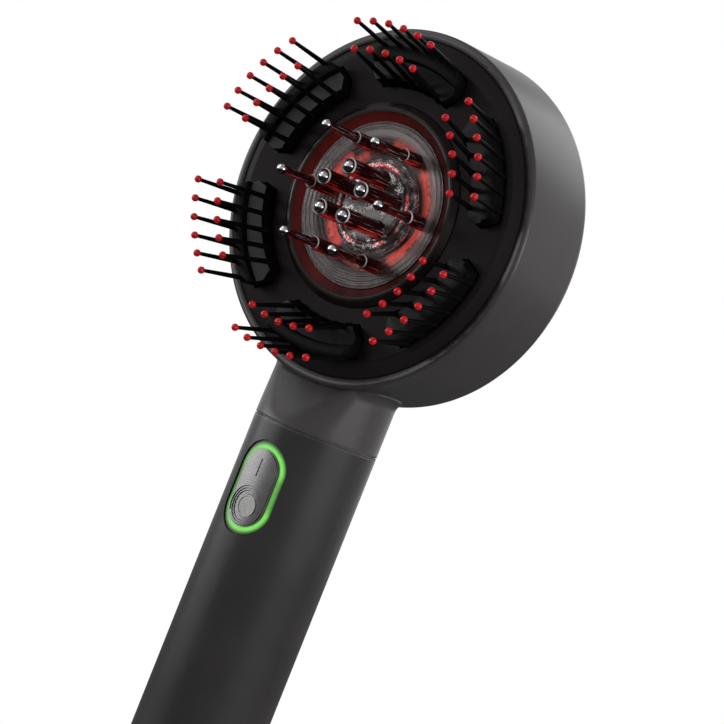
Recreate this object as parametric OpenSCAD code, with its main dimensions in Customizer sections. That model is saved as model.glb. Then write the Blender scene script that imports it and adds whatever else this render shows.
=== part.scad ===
// Electric scalp massager: a round drum head with six bristle blocks, six sprung pins and
// five roller pins, on a straight round handle. +Z runs up the handle and the face looks to -Y.
// The origin is the centre of the handle's flat end.

/* [Head] */
// Outer radius of the drum
head_r = 43.7; // [43:0.1:46]
// Depth of the drum from rim to back
head_depth = 27.5; // [27:0.5:32]
// Wall of the drum and neck shell
head_wall = 2.3; // [1.8:0.1:2.5]
// Height of the drum's centre above the handle's end
head_height = 171; // [168:1:190]
// Distance of the rim in front of the handle's axis
rim_forward = 11.1; // [10:0.1:12.5]
// Radial reach of the rounded back edge
back_round_w = 12; // [6:0.5:14]
// Axial reach of the rounded back edge
back_round_h = 5.6; // [3:0.1:6]
// Rounding of the rim's outer corner
lip_round = 1; // [0.5:0.1:1.2]
// Distance of the neck's parting line below the drum's centre
neck_reach = 55.45; // [55:0.1:60]

/* [Face] */
// Height of the flat face in front of the rim
face_rise = 1.9; // [1.2:0.1:2.4]
// Thickness of the face plate
face_t = 2.5; // [2:0.1:3]
// Width of the sloping border of the face
face_border = 3.55; // [2.5:0.05:4]
// Gap between the face plate and the drum wall
face_gap = 0.15; // [0.1:0.05:0.3]
// Depth of the skirt that carries the snap lugs, below the rim
skirt_depth = 10; // [9.5:0.5:12]

/* [Window] */
// Radius of the clear window disc
lens_r = 20.2; // [19.6:0.1:20.8]
// Thickness of the clear window disc
lens_t = 1.6; // [1.2:0.1:2]
// Height of the window disc's front above the rim
lens_rise = 2; // [1.6:0.1:2.4]
// Width of the red light ring
glow_ring_w = 2.1; // [1.5:0.1:2.5]
// Width of the raised bezel ring
bezel_w = 2.35; // [1.8:0.05:2.6]
// Height of the bezel's ridge above the rim
bezel_rise = 3.3; // [2.8:0.1:4]
// Wall of the cup behind the window
cup_wall = 1.6; // [1.2:0.1:2]

/* [Bristle blocks] */
// Radial width of a bristle block
block_w = 7.7; // [7:0.1:8]
// Half of a block's length, across its ends
block_half_len = 12.6; // [12:0.1:13.2]
// Size of the chamfer on a block's inner corners
block_corner = 2.7; // [1.5:0.1:3.5]
// Height of the block's inner step above the face
block_step_h = 3; // [2:0.1:3.6]
// Height of the block's outer ridge above the face
block_ridge_h = 4.4; // [4:0.1:6]
// Radial width of the inner step
block_step_w = 5.2; // [4.5:0.1:5.6]
// Outward lean of the inner row, as mm across per mm up
lean_in = 0.25; // [0.15:0.01:0.3]
// Outward lean of the outer row, as mm across per mm up
lean_out = 0.19; // [0.1:0.01:0.25]
// Height of the bristles' tips above the face
bristle_h = 16.1; // [13:0.1:18]
// Angle between bristles in the outer row
outer_pitch = 6.62; // [6:0.02:6.9]
// Angle between bristles in the inner row
inner_pitch = 7.96; // [7:0.02:8.4]
// Radius of a bristle at its root
bristle_root_r = 0.62; // [0.5:0.01:0.75]
// Radius of a bristle at its tip
bristle_tip_r = 0.45; // [0.35:0.01:0.5]
// Radius of the ball on a bristle
bead_r = 0.88; // [0.75:0.01:1.1]

/* [Moving carrier] */
// Travel of the carrier each way along the head's axis
carrier_travel = 0.6; // [0.3:0.1:0.6]
// Gap all round a block in its opening
block_gap = 0.4; // [0.3:0.05:0.5]
// Gap between the face plate and the carrier
carrier_drop = 2.3; // [1.5:0.1:2.6]
// Thickness of the carrier ring and arms
carrier_t = 2.3; // [1.8:0.1:2.6]
// Length of a rubber damper
damper_len = 4.8; // [4:0.1:5.2]
// Outer radius of a rubber damper
damper_r = 2.5; // [2:0.1:3]
// Radius of the vibration motor
motor_r = 4; // [3.5:0.1:4.3]
// Length of the vibration motor
motor_len = 19; // [16:0.5:21]
// Radius of the eccentric weight
weight_r = 3.6; // [3:0.1:3.9]

/* [Pins] */
// Radius of the circle that the sprung pins stand on
pin_circle_r = 15.3; // [14.8:0.1:15.8]
// Outer radius of a pin's sleeve
sleeve_r = 1.65; // [1.55:0.05:1.8]
// Height of a sleeve's mouth above the rim
sleeve_top = 7.6; // [6.5:0.1:9]
// Radius of a pin's stem
stem_r = 1; // [0.9:0.02:1.04]
// Height of a sprung pin's ball centre above the rim
pin_top = 18.8; // [16:0.1:21]
// Radius of a sprung pin's ball
pin_ball_r = 1.25; // [1.15:0.05:1.5]
// Travel of a sprung pin
pin_travel = 3.5; // [2:0.1:3.8]
// Radius of the circle that the roller pins stand on
roller_circle_r = 6.2; // [5.6:0.1:6.8]
// Outer radius of a roller pin's tube
roller_tube_r = 2; // [1.9:0.05:2.2]
// Height of a roller ball's centre above the rim
roller_top = 14.7; // [12:0.1:17]
// Radius of a roller ball
roller_ball_r = 1.45; // [1.3:0.05:1.5]
// Radius of the clear hub that carries the roller pins
hub_r = 10.6; // [10:0.1:11]

/* [Handle] */
// Outer radius of the handle
handle_r = 15.45; // [15.2:0.05:16.5]
// Wall of the handle
handle_wall = 2; // [1.6:0.1:2.2]
// Height of the end cap's outer band
cap_h = 3; // [2.5:0.1:4]
// Rounding of the end cap's edge
cap_round = 1.2; // [0.6:0.1:1.6]
// Width of the parting lines
seam = 0.3; // [0.2:0.05:0.4]
// Radius of the battery cell
battery_r = 9.2; // [7:0.1:9.3]
// Length of the battery cell
battery_len = 65; // [50:1:66]

/* [Control] */
// Distance of the control's centre below the drum's centre
control_drop = 71.85; // [71:0.05:76]
// Width of the recess around the control plate
recess_w = 14; // [13.6:0.1:14.6]
// Length of the recess around the control plate
recess_len = 23.5; // [23:0.1:26]
// Width of the control plate
plate_w = 10.4; // [10:0.1:11]
// Length of the control plate
plate_len = 19.1; // [18:0.1:20]
// Height of the control plate's curved front above the handle
plate_rise = 0.15; // [0.1:0.05:0.4]
// Radius of the power button
button_r = 2.75; // [2.4:0.05:3.2]
// Travel of the power button
button_travel = 0.4; // [0.2:0.05:0.4]

/* [Hidden] */
$fn = 96;
eps = 0.01;

// Fits and clearances
run_gap = 0.06;    // round piece that slides or turns in another
slip_gap = 0.1;    // piece that is placed by hand in its seat
pass_gap = 1;      // room between pieces that only pass each other
screw_r = 0.85;
screw_hole_r = 0.9;
screw_head_r = 1.8;
screw_head_h = 1.4;

// Head, in its own frame: z forward from the rim plane, y up
block_count = 6;
pin_count = 6;
roller_count = 5;
bore_r = head_r - head_wall;
floor_z = head_wall - head_depth;
plate_r = bore_r - face_gap;
edge_r = plate_r - face_border;
face_back = face_rise - face_t;
groove_w = 1.2;
groove_depth = 0.6;
groove_z = -skirt_depth + 1;
skirt_w = 1.7;

// Window stack, from the front backwards
opening_r = lens_r + slip_gap;
glow_out_r = opening_r + glow_ring_w;
bezel_out_r = glow_out_r + slip_gap / 2 + bezel_w;
seat_z = lens_rise - lens_t - 0.2;
lens_back = lens_rise - lens_t;
ledge_w = 1.1;
board_t = 1.2;
ledge_h = 2.6;
led_board_front = lens_back - ledge_h;
led_board_back = led_board_front - board_t;
sleeve_tail = 4.2;
sleeve_base = led_board_back - sleeve_tail;
sleeve_floor_t = 0.8;
cup_end = sleeve_base;
cup_r = opening_r + cup_wall;
holder_t = 1.6;
holder_back = cup_end - holder_t;
boss_r = 2.2;
boss_circle_r = cup_r + boss_r - 0.7;
boss_screw_len = 4;
hub_flange_w = 1;
hub_flange_t = 1.3;
hub_front = lens_rise - 0.5;
led_r = pin_circle_r - 0.8;
led_size = [2.6, 1.6, 0.9];

// Bristle blocks and carrier
block_out_r = edge_r - 0.95;
block_in_r = block_out_r - block_w;
block_end_y = sqrt(block_in_r * block_in_r - pow(block_half_len - block_corner, 2)) + block_corner;
rib_clear = carrier_travel + 0.3;
carrier_front = face_back - carrier_drop;
carrier_back = carrier_front - carrier_t;
carrier_in_r = boss_circle_r + boss_r + 2 * pass_gap;
carrier_out_r = block_out_r + 1.85;
arm_front = holder_back - carrier_travel - pass_gap;
arm_back = arm_front - carrier_t;
arm_w = 8;
leg_t = 3;
damper_circle_r = (carrier_in_r + carrier_out_r) / 2;
damper_base = carrier_back - damper_len;
damper_hole_r = 1.1;
motor_z = arm_back - motor_r - 0.2;
motor_x = -12;
saddle_t = 5;
saddle_xs = [motor_x + saddle_t / 2 + 0.5, motor_x + motor_len - saddle_t / 2 - 0.5];
clamp_t = 1.2;
ear_y = motor_r + 4;
ear_w = 2.2;
clamp_screw_len = 4.7;
shaft_r = 0.75;
weight_len = 5;
weight_x = motor_x + motor_len + 1.5;

// Pins
sleeve_bore_r = stem_r + 0.28;
sleeve_neck_r = stem_r + run_gap;
mouth_h = 0.7;
foot_r = sleeve_bore_r - run_gap;
foot_h = 0.95;
foot_top = lens_back;
spring_wire_r = 0.16;
spring_turns = 6;
tube_bore_r = 0.8;
roller_mouth = 0.6;

// Handle
neck_z = head_height - neck_reach;
tube_top = neck_z - seam / 2;
neck_bottom = neck_z + seam / 2;
handle_bore_r = handle_r - handle_wall;
cap_plug_h = 4.5;
cap_plug_t = 2.6;
cap_post_r = 2.4;
cap_screw_x = 9.6;
cap_screw_recess = 0.4;
seal_r = 0.74;
seal_z = cap_h + 2.4;
seal_groove_w = 1.6;
seal_groove_depth = 1.6;
joiner_len = 6.6;
joiner_t = 1.75;
passage_r = 10.5;
passage_y = 2.7;
neck_top = head_height - bore_r + 3;
bend_centre = 22;
bend_soft = 1.6;
bend_slope = 0.6;
bend_steps = 14;

// Inside the handle
battery_y = 2.6;
battery_z = 12;
terminal_r = 3;
terminal_h = 0.6;
frame_gap = 0.15;
frame_t = 1.05;
frame_end_t = 3;
cap_post_top = battery_z - frame_end_t - 0.6;
frame_r = handle_bore_r - 2 * slip_gap;
cheek_x = 7;
cheek_t = 2;
cheek_depth = 12;
frame_reach = 2 * handle_r;
control_board_y = -7.2;
control_board_w = 17;
control_board_len = 48.5;
control_board_top = neck_z - 5;
wire_r = 0.7;
wire_pitch = 3;
wire_gap = 0.3;
wire_reach = 5;

// Control, from the front backwards
control_z = head_height - control_drop;
plate_front_r = handle_r + plate_rise;
plate_front = -plate_front_r;
plate_t = 2.4;
plate_back = plate_front + plate_t;
plate_edge = 0.35;
recess_edge = 0.25;
step_recess = 0.3;
guide_recess = 0.1;
guide_floor_t = 1;
guide_lip = 0.5;
green_led = [0.8, 0.6, 1.6];
green_led_x = plate_w / 2 + 0.3;
green_led_z = 7;
guide_back = control_board_y - board_t - green_led[1] - 0.6;
button_z = control_z - plate_len / 2 + plate_w / 2 - 0.2;
dish_r = plate_w / 2 - 0.45;
dish_ring_w = 0.55;
dish_step = 0.2;
dish_steps = 3;
button_front = plate_front + dish_steps * dish_step;
button_back = plate_back - button_travel - 0.2;
button_rim = 0.5;
button_dip = 0.12;
button_stem_r = 1.2;
switch_w = 6;
switch_top = plate_back + guide_floor_t + button_travel + 0.35;
plunger_r = 1.6;
plunger_h = 0.6;
mark_z = control_z + plate_len / 2 - plate_w / 2 - 1.6;
mark_w = 0.4;
mark_len = 4.4;
mark_depth = 0.2;

// Charging inlet
usb_y = 6.5;
usb_w = 8.9;
usb_h = 3.2;
usb_len = 7;
usb_wall = 0.3;
usb_recess = 0.6;
usb_boss = 1.2;
tongue = [6.6, 0.7];
charge_w = 14;
charge_depth = 15;
charge_front = -4;

PINS = [for (k = [1:pin_count]) k];
BOSS_ANGLES = [30:120:270];

// ---- shared shapes ----

// Carries the head's own frame into the handle's frame
module on_head() translate([0, -rim_forward, head_height]) rotate([90, 0, 0]) children();

// Turns a piece clockwise round the head's axis, seen from the front
module at_angle(a) rotate([0, 0, -a]) children();

// Upright tube or rod between two depths
module rod(r, z0, z1) translate([0, 0, z0]) cylinder(r = r, h = z1 - z0);

module ring(r_in, r_out, z0, z1) difference() {
    rod(r_out, z0, z1);
    rod(r_in, z0 - 1, z1 + 1);
}

// Sector of a revolved outline, centred on the y axis
module sector(half_angle, points) rotate([0, 0, 90 - half_angle])
    rotate_extrude(angle = 2 * half_angle) polygon(points);

// Flat pill outline, w wide and len long
module pill(w, len) union() {
    square([w, len - w], center = true);
    for (s = [-1, 1]) translate([0, s * (len - w) / 2]) circle(d = w);
}

// Pill solid on the handle's front between two depths y0 and y1
module front_pill(w, len, y0, y1) translate([0, y1, control_z]) rotate([90, 0, 0])
    linear_extrude(y1 - y0) pill(w, len);

// Cylinder pointing to -Y on the handle's front
module front_rod(r, y0, y1, z, x = 0) translate([x, y1, z]) rotate([90, 0, 0])
    cylinder(r = r, h = y1 - y0);

function pin_angle(k) = 30 + 60 * (k - 1);
function roller_angle(k) = 72 * (k - 1);
function block_angle(k) = 60 * (k - 1);

// ---- drum and neck ----

function drum_outline() = concat(
    [[0, 0], [head_r - lip_round, 0]],
    [for (a = [75:-15:0]) [head_r - lip_round + lip_round * cos(a), -lip_round + lip_round * sin(a)]],
    [for (a = [0:7.5:90]) [head_r - back_round_w + back_round_w * cos(a),
        -head_depth + back_round_h - back_round_h * sin(a)]],
    [[0, -head_depth]]);

// Inner outline: the wall thickness is kept along the rounded back edge
function drum_hollow() = concat(
    [[0, lip_round], [bore_r, lip_round]],
    [for (a = [0:7.5:90]) [head_r - back_round_w + (back_round_w - head_wall) * cos(a),
        -head_depth + back_round_h - (back_round_h - head_wall) * sin(a)]],
    [[0, floor_z]]);

// How far the neck's front has bent back at a height h above its end: a slope with a soft start
function bend_depth(h) = sqrt(pow(bend_soft, 2) + pow(bend_slope * h, 2)) - bend_soft - 0.03;

// Round neck whose front bends back behind the drum's rim and flattens on its way up
module neck_stock() intersection() {
    rod(handle_r, neck_bottom, neck_top);
    translate([0, bend_centre, neck_bottom]) rotate_extrude() polygon(concat(
        [[0, -1], [bend_centre + handle_r + 1, -1]],
        [for (i = [0:bend_steps]) let (h = (neck_top - neck_bottom + 1) * i / bend_steps)
            [bend_centre + handle_r - bend_depth(h), h]],
        [[0, neck_top - neck_bottom + 1]]));
}

module head_shell() color("#4a4a4c") union() {
    difference() {
        union() {
            on_head() rotate_extrude() polygon(drum_outline());
            neck_stock();
        }
        on_head() rotate_extrude() polygon(drum_hollow());
        on_head() rod(bore_r + groove_depth, groove_z - groove_w / 2, groove_z + groove_w / 2);
        translate([0, passage_y, 0]) rod(passage_r, neck_bottom - 1, neck_top + 1);
        rod(handle_bore_r, neck_bottom - 1, neck_z + joiner_len / 2 + 0.2);
    }
    on_head() for (k = PINS) at_angle(pin_angle(k)) translate([0, damper_circle_r, 0]) {
        rod(damper_r + 0.1, floor_z - 0.3, damper_base);
        rod(damper_hole_r - 0.1, floor_z, carrier_back - carrier_travel - 0.4);
    }
}

// ---- face ----

// Revolved outline cut to a block's straight ends and chamfered inner corners, g bigger all round
module block_plan(g, points) intersection() {
    rotate_extrude() polygon(points);
    x = block_half_len + g;
    y = block_end_y - g * (sqrt(2) - 1);
    run = 2 * block_corner;
    translate([0, 0, -head_depth]) linear_extrude(2 * head_depth) polygon([[x, head_r + 1], [x, y],
        [x - run, y - run], [run - x, y - run], [-x, y], [-x, head_r + 1]]);
}

module block_opening(k) at_angle(block_angle(k)) {
    g = block_gap;
    block_plan(g, [[block_in_r - g, face_back - 1], [block_out_r + g, face_back - 1],
        [block_out_r + g, face_rise + 1], [block_in_r - g, face_rise + 1]]);
}

module face_plate() color("#201c1e") on_head() difference() {
    union() {
        rotate_extrude() polygon([
            [opening_r - ledge_w, led_board_front], [opening_r - ledge_w, lens_back],
            [opening_r, lens_back], [opening_r, seat_z], [bezel_out_r + slip_gap, seat_z],
            [bezel_out_r + slip_gap, face_rise], [edge_r, face_rise],
            [edge_r + 0.35 * face_border, face_rise * 0.8], [plate_r - 0.3, 0], [plate_r, -0.3],
            [plate_r, -skirt_depth], [plate_r - skirt_w, -skirt_depth],
            [plate_r - skirt_w, face_back], [cup_r, face_back], [cup_r, cup_end],
            [opening_r, cup_end], [opening_r, led_board_front]]);
        for (a = BOSS_ANGLES) at_angle(a) translate([0, boss_circle_r, 0])
            rod(boss_r, cup_end, face_back + eps);
        for (k = PINS) at_angle(pin_angle(k)) sector(4, [
            [plate_r - skirt_w / 2, groove_z - 0.4], [plate_r + groove_depth - 0.15, groove_z],
            [plate_r + groove_depth - 0.15, groove_z + 0.4], [plate_r - skirt_w / 2, groove_z + 0.4]]);
    }
    for (k = [1:block_count]) block_opening(k);
    for (a = BOSS_ANGLES) at_angle(a) translate([0, boss_circle_r, 0])
        rod(screw_hole_r, cup_end - 1, cup_end + boss_screw_len + 0.5);
}

module window_bezel() color("#2b2629") on_head() rotate_extrude() polygon([
    [glow_out_r + slip_gap / 2, seat_z], [bezel_out_r, seat_z], [bezel_out_r, face_rise + 0.3],
    [glow_out_r + bezel_w * 0.45, bezel_rise - 0.1], [glow_out_r + bezel_w * 0.25, bezel_rise],
    [glow_out_r + slip_gap / 2, bezel_rise - 0.1]]);

module glow_ring() color("#8a1a14", 0.8) on_head() rotate_extrude() polygon([
    [opening_r + slip_gap / 2, seat_z], [glow_out_r, seat_z], [glow_out_r, bezel_rise - 0.15],
    [opening_r + 0.2, lens_rise - 0.2], [opening_r + slip_gap / 2, lens_rise - 0.3]]);

module front_lens() color("#b9b4b6", 0.4) on_head() difference() {
    ring(hub_r + slip_gap, lens_r, lens_back, lens_rise);
    for (k = PINS) at_angle(pin_angle(k)) translate([0, pin_circle_r, 0])
        rod(sleeve_r + run_gap, lens_back - 1, lens_rise + 1);
}

module roller_hub() color("#c9c4c6", 0.5) on_head() difference() {
    union() {
        rod(hub_r + hub_flange_w, lens_back - slip_gap - hub_flange_t, lens_back - slip_gap);
        rod(hub_r, lens_back - slip_gap - eps, hub_front);
        for (k = [1:roller_count]) at_angle(roller_angle(k)) translate([0, roller_circle_r, 0])
            rod(roller_tube_r, hub_front - eps, roller_top + roller_mouth);
    }
    for (k = [1:roller_count]) at_angle(roller_angle(k)) translate([0, roller_circle_r, 0]) {
        rod(tube_bore_r, lens_back - 3, roller_top);
        translate([0, 0, roller_top]) sphere(r = roller_ball_r + run_gap);
    }
}

module pin_sleeves() color("#a89a9c", 0.5) on_head() for (k = PINS) at_angle(pin_angle(k))
    translate([0, pin_circle_r, 0]) difference() {
        rod(sleeve_r, sleeve_base, sleeve_top);
        rod(sleeve_bore_r, sleeve_base + sleeve_floor_t, foot_top + 0.05);
        rod(sleeve_neck_r, foot_top, sleeve_top + 1);
        rod(sleeve_bore_r, sleeve_top - mouth_h, sleeve_top + 1);
    }

// A closed coil: rings of points carried round a helix, joined in strips
module coil(mean_r, wire_r, z0, z1, turns) {
    sides = 5;
    per_turn = 8;
    n = turns * per_turn;
    ends = wire_r + 0.02;
    points = [for (i = [0:n]) for (j = [0:sides - 1])
        let (a = 360 * i / per_turn, b = 360 * j / sides,
            z = z0 + ends + (z1 - z0 - 2 * ends) * i / n, r = mean_r + wire_r * cos(b))
        [r * cos(a), r * sin(a), z + wire_r * sin(b)]];
    faces = concat(
        [[for (j = [0:sides - 1]) j]],
        [for (i = [0:n - 1]) for (j = [0:sides - 1]) [i * sides + j, (i + 1) * sides + j,
            i * sides + (j + 1) % sides]],
        [for (i = [0:n - 1]) for (j = [0:sides - 1]) [(i + 1) * sides + j,
            (i + 1) * sides + (j + 1) % sides, i * sides + (j + 1) % sides]],
        [[for (j = [sides - 1:-1:0]) n * sides + j]]);
    polyhedron(points = points, faces = faces, convexity = 8);
}

module pin_springs() color("#b8bcc0") on_head() for (k = PINS) at_angle(pin_angle(k))
    translate([0, pin_circle_r, 0])
        coil(sleeve_bore_r - spring_wire_r - 0.12, spring_wire_r, sleeve_base + sleeve_floor_t,
            foot_top - foot_h, spring_turns);

module pin_stem(k) color("#b0a0a2", 0.6) on_head() at_angle(pin_angle(k))
    translate([0, pin_circle_r, 0]) {
        rod(stem_r, foot_top - foot_h, pin_top - pin_ball_r * 0.6);
        rod(foot_r, foot_top - foot_h, foot_top);
    }

module pin_ball(k) color("#d4d6d8") on_head() at_angle(pin_angle(k))
    translate([0, pin_circle_r, 0]) difference() {
        translate([0, 0, pin_top]) sphere(r = pin_ball_r);
        rod(stem_r, pin_top - 2 * pin_ball_r, pin_top - pin_ball_r * 0.6);
    }

module roller_ball(k) color("#d4d6d8") on_head() at_angle(roller_angle(k))
    translate([0, roller_circle_r, roller_top]) sphere(r = roller_ball_r);

module led_board() color("#1d3a24") on_head() difference() {
    ring(hub_r + hub_flange_w + slip_gap, lens_r - slip_gap, led_board_back, led_board_front);
    for (k = PINS) at_angle(pin_angle(k)) translate([0, pin_circle_r, 0])
        rod(sleeve_r + slip_gap, led_board_back - 1, led_board_front + 1);
}

module red_leds() color("#ff3b30") on_head() for (k = [0:5]) for (s = [-1:1])
    at_angle(60 * k + 11 * s) translate([0, led_r, led_board_front + led_size[2] / 2])
        cube(led_size, center = true);

// Bright stepped dish behind the hub
module hub_reflector() color("#c8ccd0") on_head() rotate_extrude() {
    front = lens_back - slip_gap - hub_flange_t - slip_gap;
    r = hub_r - 0.2;
    polygon([[0, led_board_back - 0.2], [r, led_board_back - 0.2], [r, front],
        [0.82 * r, front], [0.78 * r, front - 0.6], [0.6 * r, front - 0.6],
        [0.56 * r, front - 1.2], [0.36 * r, front - 1.2], [0.32 * r, front - 1.8], [0, front - 1.8]]);
}

module pin_holder() color("#242226") on_head() difference() {
    union() {
        translate([0, 0, holder_back]) linear_extrude(holder_t) union() {
            circle(r = cup_r);
            for (a = BOSS_ANGLES) rotate(-a) translate([0, boss_circle_r]) circle(r = boss_r);
        }
        ring(lens_r - 1.6, lens_r - slip_gap, cup_end - holder_t / 2, led_board_back);
        rod(5, cup_end - holder_t / 2, led_board_back - 0.2);
    }
    for (a = BOSS_ANGLES) at_angle(a) translate([0, boss_circle_r, 0])
        rod(screw_hole_r, holder_back - 1, cup_end + 1);
}

// ---- bristle blocks and the floating carrier ----

// One bristle in the plane x = 0, from root height z0 to the tip
module bristle(root_r, lean, z0) {
    h = face_rise + bristle_h - z0;
    translate([0, root_r + lean * (z0 - face_rise), z0]) rotate([-atan(lean), 0, 0])
        cylinder(r1 = bristle_root_r, r2 = bristle_tip_r, h = h / cos(atan(lean)), $fn = 32);
}

module block_bristles(k) at_angle(block_angle(k)) {
    for (i = [0:5]) at_angle((i - 2.5) * outer_pitch)
        bristle(block_out_r + 0.23, lean_out, face_rise + rib_clear);
    for (i = [0:4]) at_angle((i - 2) * inner_pitch)
        bristle(block_in_r + 0.15, lean_in, face_rise + rib_clear);
}

module block_body(k) at_angle(block_angle(k)) block_plan(0, [
    [block_in_r, carrier_front], [block_out_r, carrier_front], [block_out_r, face_rise],
    [block_out_r + lean_out * block_ridge_h, face_rise + block_ridge_h],
    [block_in_r + block_step_w + 0.4, face_rise + block_ridge_h],
    [block_in_r + block_step_w, face_rise + block_step_h],
    [block_in_r + lean_in * block_step_h, face_rise + block_step_h], [block_in_r, face_rise]]);

module bristle_block(k) color("#1c1c1e") on_head() union() {
    block_body(k);
    block_bristles(k);
}

function bead_place(k, a, root_r, lean) =
    let (r = root_r + lean * bristle_h, t = block_angle(k) + a)
    [r * sin(t), r * cos(t), face_rise + bristle_h];

module block_beads(k) {
    for (i = [0:5]) translate(bead_place(k, (i - 2.5) * outer_pitch, block_out_r + 0.23, lean_out))
        sphere(r = bead_r, $fn = 32);
    for (i = [0:4]) translate(bead_place(k, (i - 2) * inner_pitch, block_in_r + 0.15, lean_in))
        sphere(r = bead_r, $fn = 32);
}

module bristle_tips() color("#c8202c") on_head() for (k = [1:block_count]) difference() {
    block_beads(k);
    block_bristles(k);
}

// Block as wide as a motor saddle, across both of its screw ears, between two depths
module ear_bar(x, z0, z1) translate([x - saddle_t / 2, -ear_y - ear_w, z0])
    cube([saddle_t, 2 * (ear_y + ear_w), z1 - z0]);

module motor_room() translate([motor_x - 1, 0, motor_z]) rotate([0, 90, 0])
    cylinder(r = motor_r + slip_gap, h = motor_len + 2);

module carrier() color("#2e2e33") on_head() difference() {
    union() {
        ring(carrier_in_r, carrier_out_r, carrier_back, carrier_front);
        for (a = [0:120:240]) at_angle(a)
            translate([-arm_w / 2, carrier_in_r + 0.3, (arm_back + arm_front) / 2])
                cube([arm_w, leg_t, (carrier_back + carrier_front - arm_back - arm_front) / 2]);
        translate([0, 0, arm_back]) linear_extrude(carrier_t) union() {
            circle(r = ear_y + ear_w + 0.4);
            for (a = [0:120:240]) rotate(-a) translate([-arm_w / 2, 0])
                square([arm_w, carrier_in_r + 0.6 + leg_t]);
        }
        for (x = saddle_xs) ear_bar(x, motor_z, (arm_back + arm_front) / 2);
    }
    motor_room();
    for (x = saddle_xs) for (s = [-1, 1]) translate([x, s * ear_y, 0])
        rod(screw_hole_r, motor_z - 1, motor_z + clamp_screw_len - clamp_t + 0.3);
}

module dampers() color("#5a5a5e") on_head() for (k = PINS) at_angle(pin_angle(k))
    translate([0, damper_circle_r, 0]) ring(damper_hole_r, damper_r, damper_base, carrier_back);

module motor() color("#a7abb0") on_head() translate([motor_x, 0, motor_z]) rotate([0, 90, 0])
    difference() {
        cylinder(r = motor_r, h = motor_len);
        translate([0, 0, -1]) cylinder(r = shaft_r + run_gap, h = motor_len + 2);
    }

module motor_shaft() color("#d0d3d6") on_head() translate([motor_x - 0.5, 0, motor_z])
    rotate([0, 90, 0]) cylinder(r = shaft_r, h = weight_x + weight_len + 1 - motor_x);

module eccentric_weight() color("#8d7a4e") on_head() translate([weight_x, 0, motor_z])
    rotate([0, 90, 0]) difference() {
        union() {
            intersection() {
                cylinder(r = weight_r, h = weight_len);
                translate([-weight_r, -weight_r, 0]) cube([2 * weight_r, weight_r, weight_len]);
            }
            cylinder(r = shaft_r + 1, h = weight_len);
        }
        translate([0, 0, -1]) cylinder(r = shaft_r, h = weight_len + 2);
    }

module motor_clamp() color("#3a3a40") on_head() difference() {
    for (x = saddle_xs) {
        translate([x - saddle_t / 2, 0, motor_z]) rotate([0, 90, 0])
            cylinder(r = motor_r + clamp_t, h = saddle_t);
        ear_bar(x, motor_z - clamp_t, motor_z);
    }
    motor_room();
    translate([motor_x - 1, -head_r, motor_z]) cube([motor_len + 2, 2 * head_r, head_r]);
    for (x = saddle_xs) for (s = [-1, 1]) translate([x, s * ear_y, 0])
        rod(screw_hole_r, motor_z - 2 * clamp_t, motor_z + 1);
}

// Round-headed screw, its head's underside at z = 0 and the shank pointing up
module screw(len) {
    rod(screw_head_r, -screw_head_h, 0);
    rod(screw_r, -eps, len);
}

module clamp_screws() color("#c2c5c9") on_head() for (x = saddle_xs) for (s = [-1, 1])
    translate([x, s * ear_y, motor_z - clamp_t]) screw(clamp_screw_len);

// ---- handle ----

module handle_tube() color("#2f2e30") difference() {
    rod(handle_r, cap_h + seam, tube_top);
    rod(handle_bore_r, cap_h - 1, tube_top + 1);
    front_pill(recess_w - 2 * recess_edge, recess_len - 2 * recess_edge, -2 * handle_r, 0);
    difference() {
        front_pill(recess_w, recess_len, -2 * handle_r, 0);
        rod(handle_r - step_recess, 0, neck_z);
    }
}

module end_cap() color("#2b2a2c") difference() {
    union() {
        rotate_extrude() polygon(concat([[0, 0]],
            [for (a = [-90:15:0]) [handle_r - cap_round + cap_round * cos(a),
                cap_round + cap_round * sin(a)]],
            [[handle_r, cap_h], [0, cap_h]]));
        difference() {
            rod(handle_bore_r - slip_gap, cap_h - eps, cap_h + cap_plug_h);
            rod(handle_bore_r - cap_plug_t, cap_h, cap_h + cap_plug_h + 1);
        }
        translate([-usb_w / 2 - usb_boss, usb_y - usb_h / 2 - usb_boss, cap_h - eps])
            cube([usb_w + 2 * usb_boss, usb_h + 2 * usb_boss, cap_plug_h - 1]);
        for (s = [-1, 1]) translate([s * cap_screw_x, 0, 0])
            rod(cap_post_r, cap_h - eps, cap_post_top);
    }
    translate([0, usb_y, -1]) linear_extrude(cap_h + cap_plug_h + 2)
        socket_outline(usb_w + 2 * slip_gap, usb_h + 2 * slip_gap);
    ring(handle_bore_r - slip_gap - seal_groove_depth, handle_r, seal_z - seal_groove_w / 2,
        seal_z + seal_groove_w / 2);
    for (s = [-1, 1]) translate([s * cap_screw_x, 0, 0]) {
        rod(screw_hole_r, -1, battery_z);
        rod(screw_head_r + slip_gap, -1, screw_head_h + cap_screw_recess);
    }
}

module end_seal() color("#151516") translate([0, 0, seal_z]) rotate_extrude()
    translate([handle_bore_r - seal_r - 0.04, 0]) circle(r = seal_r, $fn = 32);

module socket_outline(w, h) union() {
    square([w - h, h], center = true);
    for (s = [-1, 1]) translate([s * (w - h) / 2, 0]) circle(d = h, $fn = 32);
}

module usb_socket() color("#b5b8bc") translate([0, usb_y, usb_recess]) union() {
    difference() {
        linear_extrude(usb_len) socket_outline(usb_w, usb_h);
        translate([0, 0, -1]) linear_extrude(usb_len)
            socket_outline(usb_w - 2 * usb_wall, usb_h - 2 * usb_wall);
    }
    translate([-tongue[0] / 2, -tongue[1] / 2, 0.8]) cube([tongue[0], tongue[1], usb_len - 1]);
}

module charge_board() color("#1f5a33") intersection() {
    translate([-charge_w / 2, charge_front, usb_recess + usb_len])
        cube([charge_w, charge_depth, board_t]);
    rod(handle_bore_r - 2, 0, battery_z);
}

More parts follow.
